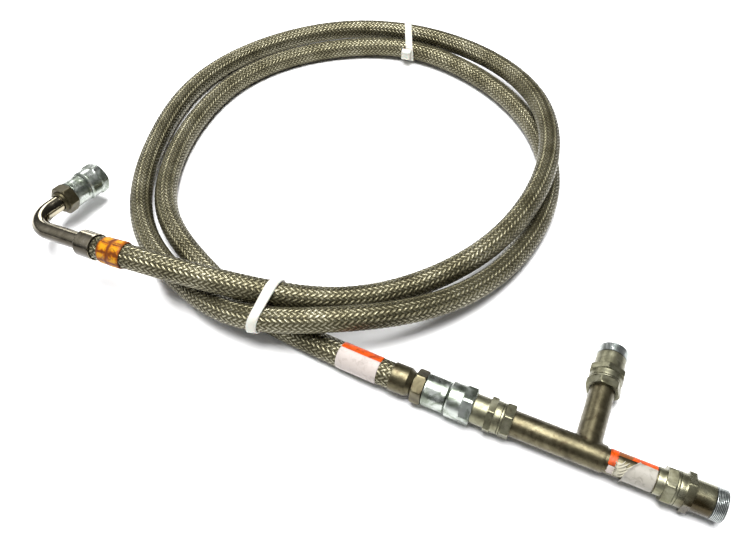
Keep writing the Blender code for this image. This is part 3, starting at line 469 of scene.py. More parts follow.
def make_finishes():
    """The record's slot and the material of each finish."""
    olive = ((0.044, 0.037, 0.019), (0.078, 0.068, 0.038), (0.122, 0.109, 0.066))
    plated = ((0.100, 0.095, 0.058), (0.165, 0.160, 0.105), (0.24, 0.235, 0.170))
    stainless = ((0.27, 0.24, 0.17), (0.36, 0.325, 0.24), (0.45, 0.41, 0.32))
    turned_steel = ((0.28, 0.27, 0.25), (0.36, 0.35, 0.33), (0.44, 0.43, 0.41))
    wire = ((0.26, 0.26, 0.27), (0.32, 0.32, 0.33), (0.38, 0.38, 0.39))
    brown = (0.035, 0.022, 0.010)
    braid = braid_material()
    made = {
        "braid": ("braid", braid),
        "frayed": (None, braid),
        # near-black, partly painted shade: it darkens the gaps between the braid's ribbons
        "core": ("braid", plain_material(
            "hose_under_braid_painted_shade", 300.0, ((0.012, 0.011, 0.006), (0.045, 0.040, 0.022)), (900.0, 3.0, 0.4),
            Metallic=0.5, Roughness=0.6)),
        "patina": ("patina", metal(
            "olive_patina", olive, (0.30, 0.44), brown, dirt_share, 0.75, metallic=0.85)),
        "plated": ("patina", metal(
            "dulled_plating", plated, (0.32, 0.46), brown, dirt_share, 0.45, metallic=0.9)),
        "stained": ("patina", metal(
            "stained_plating", plated, (0.20, 0.32), (0.030, 0.021, 0.007), stain_share, metallic=0.8)),
        "zinc": ("zinc", zinc_material()),
        "thread": ("zinc", thread_material()),
        # the stainless's cover is painted shade: a near-black band on the tube's outer and lower side
        "stainless": ("stainless", metal(
            "stainless_with_painted_shade", stainless, (0.12, 0.19), (0.018, 0.014, 0.009), painted_shade_share, tooth=0.04)),
        "valve_steel": ("valve_steel", metal(
            "turned_stainless", turned_steel, (0.20, 0.30), brown, dirt_share, 0.0)),
        "spring_steel": ("spring_steel", metal("drawn_wire", wire, (0.26, 0.36), brown, dirt_share, 0.0)),
        "gasket": ("gasket", plain_material(
            "black_gasket", 400.0, (0.018, 0.045), (1200.0, 4.0, 0.3), Roughness=0.62)),
        "tape": ("amber_tape", tape_material()),
        "nylon": ("nylon", plain_material(
            "white_nylon", 120.0, ((0.40, 0.40, 0.35), (0.47, 0.47, 0.42)), (700.0, 3.0, 0.08),
            Roughness=0.38, Subsurface_Weight=0.15, Subsurface_Scale=0.002)),
    }
    for finish, name, field, dirt, share in (
            ("orange", "orange_print", (0.41, 0.050, 0.001), (0.08, 0.010, 0.002), 0.95),
            ("brown_orange", "stained_orange_print", (0.16, 0.050, 0.012), (0.03, 0.014, 0.006), 0.85),
            ("paper", "white_print", (0.36, 0.32, 0.295), (0.16, 0.14, 0.12), 0.55),
            ("grey_paper", "dulled_print", (0.27, 0.255, 0.22), (0.09, 0.08, 0.06), 0.75),
            ("film", "curled_film", (0.34, 0.32, 0.25), (0.05, 0.042, 0.025), 0.70)):
        made[finish] = ("label", label_material(name, field, dirt, share))
    return made


FINISHES = make_finishes()


# Shape helpers

def frame_at(origin, x, z):
    return Matrix.Translation(origin) @ Matrix((x, z.cross(x), z)).transposed().to_4x4()


def axis_frame(origin, direction):
    """A frame whose Z is the direction of an axis and whose X lies nearest to straight up."""
    z = Vector(direction).normalized()
    up = Vector((0.0, 0.0, 1.0))
    return frame_at(origin, (up - z * z.dot(up)).normalized(), z)


def add_object(name, data):
    made = bpy.data.objects.new(name, data)
    bpy.context.scene.collection.objects.link(made)
    return made


def add_piece(name, data, finish, body, replaces=None):
    """A piece that rides on a body and may stand for a CAD node."""
    slot, material = FINISHES[finish]
    data.materials.append(material)
    piece = add_object(name, data)
    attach(piece, body)
    if replaces:
        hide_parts(replaces)
    return piece


def smooth(mesh, sharp):
    mesh.shade_smooth()
    mesh.set_sharp_from_angle(angle=math.radians(sharp))


def new_piece(name, points, faces, finish, body, replaces=None, sharp=32.0, uv=None):
    """A mesh piece. sharp is the angle from which an edge looks sharp, and uv gives a pair for each point."""
    mesh = bpy.data.meshes.new(name)
    mesh.from_pydata([tuple(p) for p in points], [], [tuple(int(i) for i in f) for f in faces])
    mesh.validate()
    smooth(mesh, sharp)
    if uv is not None:
        layer = mesh.uv_layers.new(name="UVMap")
        corners = np.empty(len(mesh.loops), dtype=np.int32)
        mesh.loops.foreach_get("vertex_index", corners)
        layer.data.foreach_set("uv", np.asarray(uv, dtype=np.float32)[corners].ravel())
    return add_piece(name, mesh, finish, body, replaces)


def uv_grid(u, v):
    return np.stack(np.broadcast_arrays(u, v), axis=-1).reshape(-1, 2)


def even_angles(count):
    return np.arange(count) * 2 * math.pi / count


def grid_faces(rows, columns, wrap_rows=False, wrap_columns=True):
    """Quads between rows of points."""
    faces = []
    for i in range(rows if wrap_rows else rows - 1):
        for j in range(columns if wrap_columns else columns - 1):
            k = (i + 1) % rows
            m = (j + 1) % columns
            faces.append((i * columns + j, i * columns + m, k * columns + m, k * columns + j))
    return faces


def rounded(profile, radius, steps=3):
    """The closed profile with each sharp corner turned into a small arc."""
    points = [np.array(p, dtype=float) for p in profile]
    made = []
    for i, corner in enumerate(points):
        back = points[i - 1] - corner
        on = points[(i + 1) % len(points)] - corner
        back_length = np.linalg.norm(back)
        on_length = np.linalg.norm(on)
        cosine = float(back @ on) / (back_length * on_length)
        turn = math.pi - math.acos(max(-1.0, min(1.0, cosine)))
        if turn < math.radians(12.0):
            made.append(corner)
            continue
        reach = min(radius * math.tan(turn / 2), 0.4 * back_length, 0.4 * on_length)
        start = corner + back / back_length * reach
        end = corner + on / on_length * reach
        for t in np.linspace(0.0, 1.0, steps + 1):
            made.append((1 - t) ** 2 * start + 2 * t * (1 - t) * corner + t ** 2 * end)
    return made


def finer(profile, step):
    """The closed profile with points added so that none is further apart than a step."""
    made = []
    for a, b in zip(profile, profile[1:] + profile[:1]):
        parts = max(1, math.ceil(np.linalg.norm(b - a) / step))
        made += [a + (b - a) * k / parts for k in range(parts)]
    return made


def hex_radius(angles, flat, turn):
    """Radius of a hex with slightly rounded corners; turn is the angle from the frame's X to a corner."""
    total = np.zeros_like(angles)
    for i in range(6):
        total += np.maximum(np.cos(angles - math.radians(turn + 30.0 + 60.0 * i)), 0.0) ** HEX_SHARPNESS
    return flat / total ** (1 / HEX_SHARPNESS)


def ring_angles(turn, sides):
    """Even angles round a turned piece, or, with a hex turn, close together at its corners."""
    if turn is None:
        return even_angles(sides)
    steps = sorted({s for step in SECTOR_STEPS for s in (step, 60.0 - step)} - {60.0} | {30.0})
    return np.radians([turn + 60.0 * sector + step for sector in range(6) for step in steps])


def hex_profile(bottom, top, radius=ADAPTER_CORNER_R, chamfer=HEX_CHAMFER):
    """Outer side of a hex with chamfered ends."""
    return [(radius - chamfer, bottom), (radius, bottom + chamfer),
            (radius, top - chamfer), (radius - chamfer, top)]


def adapter_hex(bottom, top, turn):
    return bottom - GAP, top + GAP, HEX_ADAPTER_FLAT, turn


def turned(name, place, profile, finish, body, replaces=None, hexed=None, thread=None, sides=96, edge=EDGE,
           step=0.002):
    """A turned piece. hexed is (bottom, top, flat, turn) of its hex, and thread is (bottom, top, radius) of
    its outer thread."""
    rows = finer(rounded(profile, edge), step)
    angles = ring_angles(hexed[3] if hexed else None, sides)
    radii = np.array([r for r, _ in rows])[:, None] * np.ones(len(angles))
    heights = np.array([z for _, z in rows])
    uv = None
    if hexed:
        bottom, top, flat, turn = hexed
        within = (heights > bottom) & (heights < top) & (radii[:, 0] > flat * 0.9)
        radii[within] = np.minimum(radii[within], hex_radius(angles, flat, turn))
    if thread:
        bottom, top, crest = thread
        within = (heights > bottom) & (heights < top) & (radii[:, 0] > crest - THREAD_DEPTH * 1.8)
        phase = (heights[within, None] - bottom) / THREAD_PITCH - angles / (2 * math.pi)
        flank = np.abs((phase % 1.0) * 2 - 1)
        groove = np.clip(flank * 1.5 - 0.25, 0.0, 1.0) * THREAD_DEPTH
        radii[within] = np.minimum(radii[within], crest - groove)
        uv = uv_grid(np.where(within[:, None], (crest - radii) / THREAD_DEPTH, 0.0), 0.0)
    z = heights[:, None] * np.ones(len(angles))
    points = np.stack((radii * np.cos(angles), radii * np.sin(angles), z), axis=-1).reshape(-1, 3)
    matrix = np.array(place)
    return new_piece(name, points @ matrix[:3, :3].T + matrix[:3, 3],
                     grid_faces(len(rows), len(angles), wrap_rows=True), finish, body, replaces, uv=uv)


def swept(name, path, radius, finish, body, replaces=None, sides=32):
    """A round tube along a path, with closed ends."""
    path = np.array(path)
    tangents = np.gradient(path, axis=0)
    tangents /= np.linalg.norm(tangents, axis=1)[:, None]
    side = np.cross(tangents[0], (0.0, 0.0, 1.0))
    angles = even_angles(sides)
    points = []
    for centre, tangent, r in zip(path, tangents, np.broadcast_to(radius, len(path))):
        side = side - tangent * (side @ tangent)
        side /= np.linalg.norm(side)
        up = np.cross(side, tangent)
        points.append(centre + r * (np.cos(angles)[:, None] * side + np.sin(angles)[:, None] * up))
    last = (len(path) - 1) * sides
    caps = [tuple(range(sides - 1, -1, -1)), tuple(range(last, last + sides))]
    faces = grid_faces(len(path), sides) + caps
    return new_piece(name, np.concatenate(points), faces, finish, body, replaces)


def wavy(rows, columns, seed, scale=1.0):
    """Smooth small bumps over a grid, between -1 and 1."""
    random = np.random.default_rng(seed)
    u = np.linspace(0.0, 1.0, rows)[:, None]
    v = np.linspace(0.0, 1.0, columns)[None, :]
    total = np.zeros((rows, columns))
    for _ in range(7):
        total += np.sin(2 * math.pi * (random.uniform(0.5, 3.0) * scale * u + random.integers(-3, 4) * v)
                        + random.uniform(0.0, 2 * math.pi))
    return total / 7


def thicken(obj, thickness):
    shell = obj.modifiers.new("wall", "SOLIDIFY")
    shell.thickness = thickness
    shell.offset = 1.0


def patch(name, surface, start, end, arc, finish, body, radius, seed, torn=(0.0, 0.0), curl=0.0,
          replaces=None):
    """A piece of film on a round surface. start and end are its edges along the tube, and start may be pairs
    of angle and distance; torn is how ragged they are, and curl is how far its start stands off."""
    rows, columns = 30, 34
    random = np.random.default_rng(seed)
    degrees = np.linspace(arc[0], arc[1], columns)
    jitter = [np.convolve(random.uniform(-1, 1, columns + 2), (0.25, 0.5, 0.25), "valid") for _ in range(2)]
    if np.ndim(start):
        start = np.interp(degrees, *np.transpose(start))
    t = np.linspace(0.0, 1.0, rows)[:, None]
    distances = (start + torn[0] * jitter[0]) * (1 - t) + (end + torn[1] * jitter[1]) * t
    lift = FILM_RIPPLE * (wavy(rows, columns, seed + 20) + 1)
    lift = lift + curl * np.maximum(0.0, 1 - t * 7) ** 2 * (1 + 0.6 * wavy(rows, columns, seed + 40))
    angles = np.broadcast_to(np.radians(degrees), (rows, columns)).ravel()
    points = surface(distances.ravel(), angles, radius + lift.ravel())
    piece = new_piece(name, points, grid_faces(rows, columns, wrap_columns=False), finish, body, replaces,
                      sharp=180.0)
    thicken(piece, LABEL_THICK)
    return piece


# The hose's route

def clamped_spline(points, start_direction, end_direction):
    """A smooth cubic through the points, with its end directions given: its spans, their slopes and bends."""
    points = np.array(points)
    spans = np.linalg.norm(np.diff(points, axis=0), axis=1)
    slopes = np.diff(points, axis=0) / spans[:, None]
    count = len(points)
    matrix = np.zeros((count, count))
    right = np.zeros((count, 3))
    matrix[0, :2] = 2 * spans[0], spans[0]
    right[0] = 3 * (slopes[0] - start_direction)
    matrix[-1, -2:] = spans[-1], 2 * spans[-1]
    right[-1] = 3 * (end_direction - slopes[-1])
    for i in range(1, count - 1):
        matrix[i, i - 1:i + 2] = spans[i - 1], 2 * (spans[i - 1] + spans[i]), spans[i]
        right[i] = 3 * (slopes[i] - slopes[i - 1])
    return points, spans, slopes, np.linalg.solve(matrix, right)


def sample_spline(spline, steps):
    points, spans, slopes, bends = spline
    samples = []
    for i, span in enumerate(spans):
        linear = slopes[i] - span * (2 * bends[i] + bends[i + 1]) / 3
        cubic = (bends[i + 1] - bends[i]) / (3 * span)
        for t in np.linspace(0.0, span, steps, endpoint=False):
            samples.append(points[i] + linear * t + bends[i] * t ** 2 + cubic * t ** 3)
    samples.append(points[-1])
    return np.array(samples)


class Route:
    """The hose's centreline, read by the distance from its end in the elbow's ferrule."""

    def __init__(self, start, start_direction, end, end_direction):
        start_mouth = start + start_direction * COLLAR_GRIP
        end_mouth = end - end_direction * FERRULE_GRIP
        spline = clamped_spline([tuple(start_mouth), *ROUTE, tuple(end_mouth)],
                                np.array(start_direction), np.array(end_direction))
        self.samples = np.vstack((start, sample_spline(spline, 40), end))
        steps = np.linalg.norm(np.diff(self.samples, axis=0), axis=1)
        self.distances = np.concatenate(([0.0], np.cumsum(steps)))
        self.length = float(self.distances[-1])

    def points(self, distances):
        return np.stack([np.interp(distances, self.distances, self.samples[:, k]) for k in range(3)], axis=-1)

    def rings(self, distances):
        """Centres, level sides, up directions and tangents at the distances."""
        ahead = self.points(np.minimum(distances + 0.001, self.length))
        behind = self.points(np.maximum(distances - 0.001, 0.0))
        tangents = (ahead - behind) / np.linalg.norm(ahead - behind, axis=1)[:, None]
        sides = np.cross(tangents, (0.0, 0.0, 1.0))
        sides /= np.linalg.norm(sides, axis=1)[:, None]
        return self.points(distances), sides, np.cross(sides, tangents), tangents

    def surface(self, distances, angles, radii):
        """Points on the hose: angles are from straight up towards the level side."""
        centres, sides, ups, _ = self.rings(distances)
        return centres + radii[:, None] * (ups * np.cos(angles)[:, None] + sides * np.sin(angles)[:, None])


# Hose, braid and what is wrapped round them

def make_core(route):
    """The dark tube under the braid, which stands for the hose in the CAD."""
    curve = bpy.data.curves.new("hose_core", "CURVE")
    curve.dimensions = "3D"
    curve.bevel_depth = CORE_R
    curve.bevel_resolution = 5
    curve.use_fill_caps = True
    points = route.points(np.linspace(0.0, route.length, round(route.length / CORE_STEP) + 1))
    spline = curve.splines.new("POLY")
    spline.points.add(len(points) - 1)
    for item, point in zip(spline.points, points):
        item.co = (*point, 1.0)
    return add_piece("hose_core", curve, "core", "hose_line", "braided_hose")


def make_braid(route):
    """Ribbons woven two over and two under, with one row of points at each crossing."""
    spacing = BRAID_LAY / (2 * CARRIERS)
    first = math.ceil(COLLAR_GRIP / spacing)
    last = math.floor((route.length - FERRULE_GRIP + BRAID_TUCK) / spacing)
    bounds = np.linspace(first, last, BRAID_PIECES + 1).astype(int)
    lean = math.atan(2 * math.pi * HOSE_R / BRAID_LAY)
    pieces = []
    for number, (start, stop) in enumerate(zip(bounds, bounds[1:]), 1):
        stations = np.arange(start, stop + 1)
        quads = np.array(grid_faces(len(stations), len(RIBBON_PLACES), wrap_columns=False))
        points, uvs, faces = [], [], []
        for ribbon, (way, carrier) in enumerate(product((1, -1), range(CARRIERS))):
            turns = (2 * carrier + way * stations) / (2 * CARRIERS)
            crossing = np.round(turns * 2 * CARRIERS).astype(int) + (0 if way > 0 else 2)
            over = np.where(crossing % 4 < 2, 1.0, -1.0)
            rails = []
            for place, height in zip(RIBBON_PLACES, RIBBON_HEIGHTS):
                offset = place * RIBBON_WIDTH
                around = 2 * math.pi * turns + offset * math.cos(lean) / HOSE_R
                rails.append(route.surface(stations * spacing - way * offset * math.sin(lean), around,
                                           BRAID_MID + BRAID_SWING * over + height))
            points.append(np.stack(rails, axis=1).reshape(-1, 3))
            uvs.append(uv_grid(np.array(RIBBON_PLACES) + 0.5, (crossing / 4)[:, None]))
            faces.append(quads + ribbon * len(points[0]))
        pieces.append(new_piece(f"braid_stretch_{number}", np.concatenate(points), np.concatenate(faces),
                                "braid", "hose_line", sharp=180.0, uv=np.concatenate(uvs)))
    return pieces


def make_frayed_wires(route):
    """Wire ends that stand up on both sides of the amber tape."""
    random = np.random.default_rng(7)
    corners = even_angles(3)
    section = WIRE_R * np.stack((np.cos(corners), np.sin(corners), 0.4 * np.sin(corners + 1)), axis=-1)
    t = np.linspace(0.0, 1.0, 5)
    points, faces = [], []
    for at, count in FRAYED_AT:
        for _ in range(count):
            start = at + random.uniform(-0.0015, 0.0015)
            angle = random.uniform(-1.2, 1.9)
            length = random.uniform(0.002, 0.0045)
            lift = random.uniform(0.0003, 0.0014)
            way = random.choice((-1, 1))
            turn = random.uniform(-0.4, 0.4)
            path = route.surface(start + t * length * way, angle + t * turn, HOSE_R + lift * t ** 1.5)
            faces += [tuple(i + len(points) for i in face) for face in grid_faces(len(t), 3)]
            points += [p + corner for p in path for corner in section]
    return new_piece("frayed_wires", points, faces, "frayed", "hose_line")


def make_tape(route):
    """Two rough turns of film that follow the braid's lumps."""
    rows, columns = 40, 96
    angles = even_angles(columns)
    u = np.linspace(0.0, 1.0, rows)[:, None]
    lumps = np.abs(wavy(rows, columns, 3, 1.3))
    second = (np.sin(angles + 0.8)[None, :] * 0.12 + u > 0.48).astype(float)
    edge = np.minimum(1.0, np.minimum(u, 1 - u) * 14)
    radii = HOSE_R + GAP + (TAPE_LIFT + TAPE_LUMPS * lumps + TAPE_LIFT * second) * edge
    ragged = TAPE_RAGGED * wavy(1, columns, 5) * (np.abs(u - 0.5) * 2) ** 6
    distances = TAPE_START + TAPE_LENGTH * u + np.where(u > 0.5, 1.0, -1.0) * ragged
    points = route.surface(distances.ravel(), np.broadcast_to(angles, (rows, columns)).ravel(), radii.ravel())
    tape = new_piece("tape_wrap", points, grid_faces(rows, columns), "tape", "hose_line", "amber_tape",
                     sharp=180.0, uv=uv_grid(u, angles / (2 * math.pi)))
    thicken(tape, SKIN_THICK)
    return tape


def make_hose_label(route):
    start = route.length - LABEL_FROM_END - LABEL_LENGTH
    pieces = []
    for name, arc, finish, seed, replaces in (
            ("hose_label_band", (LABEL_ARC[0], LABEL_BAND_TO), "orange", 4, None),
            ("hose_label_field", (LABEL_BAND_TO, LABEL_ARC[1]), "paper", 5, "hose_label")):
        pieces.append(patch(name, route.surface, start, start + LABEL_LENGTH, arc, finish, "hose_line",
                            HOSE_R + GAP, seed, replaces=replaces))
    return pieces


# Cable ties

class TieStrand:
    """One strand in a tie's frame: where it is at each height, and the oval that it is cut to there."""

    def __init__(self, to_tie, point, tangent):
        self.centre = to_tie @ point
        self.direction = to_tie.to_3x3() @ tangent
        self.slope = self.direction / self.direction.z

    def on_axis(self, height):
        return self.centre + self.slope * (height - self.centre.z)

    def edge(self, angle, height, offset):
        """The point whose outward direction is at this angle, on the oval widened by an offset."""
        out = Vector((math.cos(angle), math.sin(angle), 0.0))
        lean = Vector((self.slope.x, self.slope.y, 0.0))
        stretched = out + lean * lean.dot(out)
        oval = stretched * (HOSE_R / math.sqrt(stretched.dot(out)))
        return self.on_axis(height) + oval + out * offset

    def head_place(self, angle):
        """Where a tie's head sits: height outwards, length round the strand and width along it."""
        out = Vector((math.cos(angle), math.sin(angle), 0.0))
        out = (out - self.direction * out.dot(self.direction)).normalized()
        seat = self.on_axis(0.0) + out * (HOSE_R + TIE_ROOM + TIE_THICK / 2 + TIE_HEAD[0] / 2)
        return frame_at(seat, out, self.direction)


def make_tie(name, route, crossings, head_degrees):
    """A strap with rounded edges round two strands, and its head."""
    centres, _, _, directions = route.rings(np.array(crossings))
    points = [Vector(p) for p in centres]
    tangents = [Vector(d) for d in directions]
    tangents[1] *= math.copysign(1.0, tangents[0].dot(tangents[1]))
    apart = points[0] - points[1]
    across = (tangents[0] + tangents[1]).cross(apart)
    z = apart.cross(across).normalized()
    place = frame_at((points[0] + points[1]) / 2, (apart - z * z.dot(apart)).normalized(), z)
    to_tie = place.inverted()
    strands = [TieStrand(to_tie, point, tangent) for point, tangent in zip(points, tangents)]
    half = TIE_WIDTH / 2
    section = [(-half, 0.0), (-half, TIE_THICK * 0.7), (-half + TIE_EDGE, TIE_THICK),
               (-half * 0.4, TIE_THICK)]
    section += [(-height, offset) for height, offset in reversed(section)]
    loop = []
    for strand, start in zip(strands, (-math.pi / 2, math.pi / 2)):
        for angle in np.linspace(start, start + math.pi, TIE_STEPS + 1):
            loop += [place @ strand.edge(angle, height, TIE_ROOM + offset) for height, offset in section]
    faces = grid_faces(len(loop) // len(section), len(section), wrap_rows=True)
    strap = new_piece(name + "_strap", loop, faces, "nylon", "hose_line", name, sharp=50.0)
    return [strap, make_tie_head(name, place @ strands[0].head_place(math.radians(head_degrees)))]


def make_tie_head(name, place):
    """A block that narrows outwards, with a hollow in its top."""
    bm = bmesh.new()
    bmesh.ops.create_cube(bm, size=1.0)
    for vertex in bm.verts:
        taper = (1.0, 0.72, 0.78) if vertex.co.x > 0 else (1.0, 1.0, 0.92)
        vertex.co = Vector([c * size * t for c, size, t in zip(vertex.co, TIE_HEAD, taper)])
    bmesh.ops.bevel(bm, geom=bm.edges[:], offset=TIE_HEAD_BEVEL, segments=3, affect="EDGES", profile=0.6)
    top = max(bm.faces, key=lambda f: f.calc_center_median().x)
    bmesh.ops.inset_individual(bm, faces=[top], thickness=TIE_HEAD_RIM)
    top.normal_update()
    bmesh.ops.translate(bm, verts=top.verts, vec=(-TIE_HEAD_HOLLOW, 0.0, 0.0))
    mesh = bpy.data.meshes.new(name + "_head")
    bm.to_mesh(mesh)
    bm.free()
    mesh.transform(place)
    smooth(mesh, 50.0)
    return add_piece(name + "_head", mesh, "nylon", "hose_line")


# Female coupling half

def make_female_half(prefix, place, back, nut_turn):
    gasket_bottom = BARREL_LENGTH - GASKET_THICK
    seat = gasket_bottom - GAP
    groove = NUT_LIP + GAP
    groove_top = groove + RING_THICK + 2 * GAP
    flats = (-back + 2 * BODY_CHAMFER, -back / 4, BODY_FLAT, BODY_TURN)
    turned(prefix + "_body_turned", place, [
        (BODY_R - BODY_CHAMFER, -back), (BODY_R, -back + BODY_CHAMFER), (BODY_R, flats[0] - STEP_WIDTH),
        (BODY_R, flats[0] + STEP_WIDTH), (BODY_R, flats[1] - STEP_WIDTH), (BODY_R, flats[1] + STEP_WIDTH),
        (BODY_R, -BODY_CHAMFER), (BODY_R - BODY_CHAMFER, 0.0),
        (BARREL_R, 0.0), (BARREL_R, groove), (BARREL_R - RING_DEPTH, groove),
        (BARREL_R - RING_DEPTH, groove_top), (BARREL_R, groove_top), (BARREL_R, seat),
        (CHAMBER_R, seat), (CHAMBER_R, -back),
    ], "zinc", "hose_line", prefix + "_coupling_body", hexed=flats)
    start = GAP
    end = start + NUT_LENGTH
    hex_start = end - NUT_HEX
    thread_r = THREAD_R + GAP
    turned(prefix + "_nut_turned", place, [
        (NUT_R - NUT_CHAMFER, start), (NUT_R, start + NUT_CHAMFER), (NUT_R, hex_start - STEP_WIDTH),
        (NUT_R, hex_start + STEP_WIDTH), (NUT_CORNER_R, hex_start + HEX_CHAMFER),
        (NUT_CORNER_R, end - HEX_CHAMFER), (NUT_FLAT - NUT_RIM, end),
        (thread_r + MOUTH_CHAMFER, end), (thread_r, end - MOUTH_CHAMFER),
        (thread_r, start + NUT_LIP - GAP), (BARREL_R + GAP, start + NUT_LIP - GAP), (BARREL_R + GAP, start),
    ], "zinc", prefix + "_nut", prefix + "_coupling_nut", hexed=(hex_start, end + GAP, NUT_FLAT, nut_turn))


# Male coupling half

def male_heights():
    """Distances from the tee's centre: flange's top, body's rear, adapter's top and bottom."""
    flange_top = TEE_REACH - THREAD_LENGTH - MALE_BARREL
    rear = flange_top - FLANGE_LENGTH - SKIRT_LENGTH
    hex_top = rear - GAP - WASHER_THICK - GAP
    return flange_top, rear, hex_top, hex_top - ADAPTER_HEX


def make_male_half(prefix, place, tube_r, turns, finish, neck):
    """The male half, its washer and its adapter; neck is the radius and length of its round part."""
    flange_top, rear, hex_top, hex_bottom = male_heights()
    flange_bottom = flange_top - FLANGE_LENGTH
    guide_bottom = TEE_REACH - GUIDE_FROM_FACE - SPIDER_THICK
    barrel_top = TEE_REACH - THREAD_LENGTH
    half = HEX_CHAMFER / 2
    turned(prefix + "_male_turned", place, [
        (SKIRT_R, rear), (SKIRT_R, flange_bottom),
        *hex_profile(flange_bottom, flange_top, FLANGE_CORNER_R, half),
        (MALE_R, flange_top), (MALE_R, barrel_top - GAP), (MALE_R - MALE_CHAMFER, barrel_top),
        (CHAMBER_R, barrel_top), (CHAMBER_R, rear),
    ], finish, "tee", prefix + "_male_body",
        hexed=(flange_bottom - GAP, flange_top + GAP, FLANGE_FLAT, turns[0]))
    bore = HEAD_R + GAP
    turned(prefix + "_male_thread", place, [
        (MALE_R - MOUTH_CHAMFER, barrel_top), (THREAD_R, barrel_top + half),
        (THREAD_R, TEE_REACH - HEX_CHAMFER), (THREAD_R - HEX_CHAMFER, TEE_REACH),
        (bore + MOUTH_CHAMFER, TEE_REACH), (bore, TEE_REACH - MOUTH_CHAMFER),
        (bore, TEE_REACH - POPPET_NOSE), (CHAMBER_R, TEE_REACH - POPPET_NOSE), (CHAMBER_R, barrel_top),
    ], "thread", "tee", thread=(barrel_top, TEE_REACH, THREAD_R), step=THREAD_PITCH / 9)
    low = hex_top + GAP
    high = low + WASHER_THICK
    turned(prefix + "_washer_turned", place, [
        (SKIRT_R, low), (SKIRT_R, high), (CHAMBER_R, high), (CHAMBER_R, low),
    ], "plated", "tee", prefix + "_washer")
    tube_end = hex_bottom + TUBE_SEAT
    mouth = hex_bottom - neck[1] if neck else hex_bottom
    turned(prefix + "_hex_turned", place, [
        *([(neck[0], mouth), (neck[0], hex_bottom)] if neck else []), *hex_profile(hex_bottom, hex_top),
        (SPIGOT_R, hex_top), (SPIGOT_R, guide_bottom - GAP), (SPIGOT_BORE_R, guide_bottom - GAP),
        (SPIGOT_BORE_R, tube_end), (tube_r + GAP, tube_end), (tube_r + GAP, mouth),
    ], "plated", "tee", prefix + "_hex_adapter", hexed=adapter_hex(hex_bottom, hex_top, turns[1]))


# Tee

def make_tee(tee_centre):
    """Run and branch tubes that meet in one smooth saddle, and the stub."""
    reach = male_heights()[3] + TUBE_SEAT - GAP
    stub_start = STUB_SEAM - STUB_SOCKET + GAP
    turned("tee_run", axis_frame(tee_centre, (-1.0, 0.0, 0.0)), [
        (RUN_R, -STUB_SEAM), (RUN_R, reach), (RUN_R - TUBE_WALL, reach),
        (RUN_R - TUBE_WALL, STUB_SOCKET - STUB_SEAM), (STUB_R + GAP / 2, STUB_SOCKET - STUB_SEAM),
        (STUB_R + GAP / 2, -STUB_SEAM),
    ], "patina", "tee", "tee_pipe", sides=128)
    make_saddle(tee_centre, reach)
    turned("tee_stub_turned", axis_frame(tee_centre, (1.0, 0.0, 0.0)), [
        (STUB_R, stub_start), (STUB_R, reach), (STUB_R - TUBE_WALL, reach), (STUB_R - TUBE_WALL, stub_start),
    ], "patina", "tee", "tee_stub", sides=128)


def make_saddle(tee_centre, reach):
    """The branch tube, widening into a smooth fillet where it meets the run."""
    columns = 128
    angles = even_angles(columns)
    x_share = np.sin(angles)
    z_share = np.cos(angles)
    inside = RUN_R - SADDLE_SINK
    rows = []
    for t in np.linspace(0.0, 1.0, 12):
        left = 1 - math.sin(t * math.pi / 2)
        z = (BRANCH_R + (inside - BRANCH_R) * left) * z_share
        x = (BRANCH_R + SADDLE_FLARE * left) * x_share
        y = np.sqrt(np.maximum(inside ** 2 - z ** 2, 0.0)) + SADDLE_FLARE * (1 - math.cos(t * math.pi / 2))
        rows.append(np.stack((x, y, z), axis=-1))
    for y in np.linspace(RUN_R + SADDLE_FLARE, reach, 12):
        rows.append(np.stack((BRANCH_R * x_share, np.full(columns, y), BRANCH_R * z_share), axis=-1))
    points = np.concatenate(rows) + np.array(tee_centre)
    new_piece("tee_branch", points, grid_faces(len(rows), columns), "patina", "tee", sharp=60.0)


def make_tee_label(tee_centre):
    """What is left of the label: an orange strip and edge, a torn white field and folds of its film."""
    near = STUB_SEAM + LABEL_FROM_SEAM
    strip = near + STRIP_WIDTH
    far = male_heights()[3] - END_NECK - LABEL_TO_NECK
    radius = STUB_R + GAP

    def surface(distances, angles, radii):
        return np.stack((tee_centre.x + distances, tee_centre.y - radii * np.sin(angles),
                         tee_centre.z + radii * np.cos(angles)), axis=-1)

    for name, start, end, arc, finish, lift, torn, seed, curl in (
            ("strip", near, strip, (-50.0, 42.0), "orange", 0.0, (0.0004, 0.0010), 11, 0.0),
            ("edge", strip, BROWN_EDGE_END, UPPER_ARC, "brown_orange", 0.0, (0.0003, 0.0012), 12, 0.0),
            ("corner", BROWN_EDGE_END, far, UPPER_ARC, "orange", 0.00002, (0.0012, 0.0003), 15, 0.0),
            ("field", TORN_EDGE, far, (-16.0, 125.0), "grey_paper", 0.00004, (0.0006, 0.0002), 13, 0.0014),
            ("film", 0.0216, 0.0292, (18.0, 82.0), "film", 0.00002, (0.0014, 0.0010), 16, 0.0016),
            ("scrap", near + 0.0004, near + 0.0060, (44.0, 84.0), "paper", 0.0, (0.0009, 0.0012), 14, 0.0)):
        patch("tee_label_" + name, surface, start, end, arc, finish, "tee", radius + lift, seed, torn, curl,
              "tee_label" if name == "field" else None)
    t = np.linspace(0.0, 1.0, 14)
    bow = np.sin(t * math.pi)
    for number, ((start, start_degrees), (end, end_degrees)) in enumerate(FILM_FOLDS, 1):
        angles = np.radians(start_degrees + (end_degrees - start_degrees) * t)
        distances = start + (end - start) * t + FOLD_BOW * bow
        path = surface(distances, angles, radius + FOLD_R[0] + FOLD_RISE * bow)
        swept(f"tee_film_fold_{number}", path, FOLD_R[0] + FOLD_R[1] * bow, "film", "tee", sides=10)


# Straight end of the hose

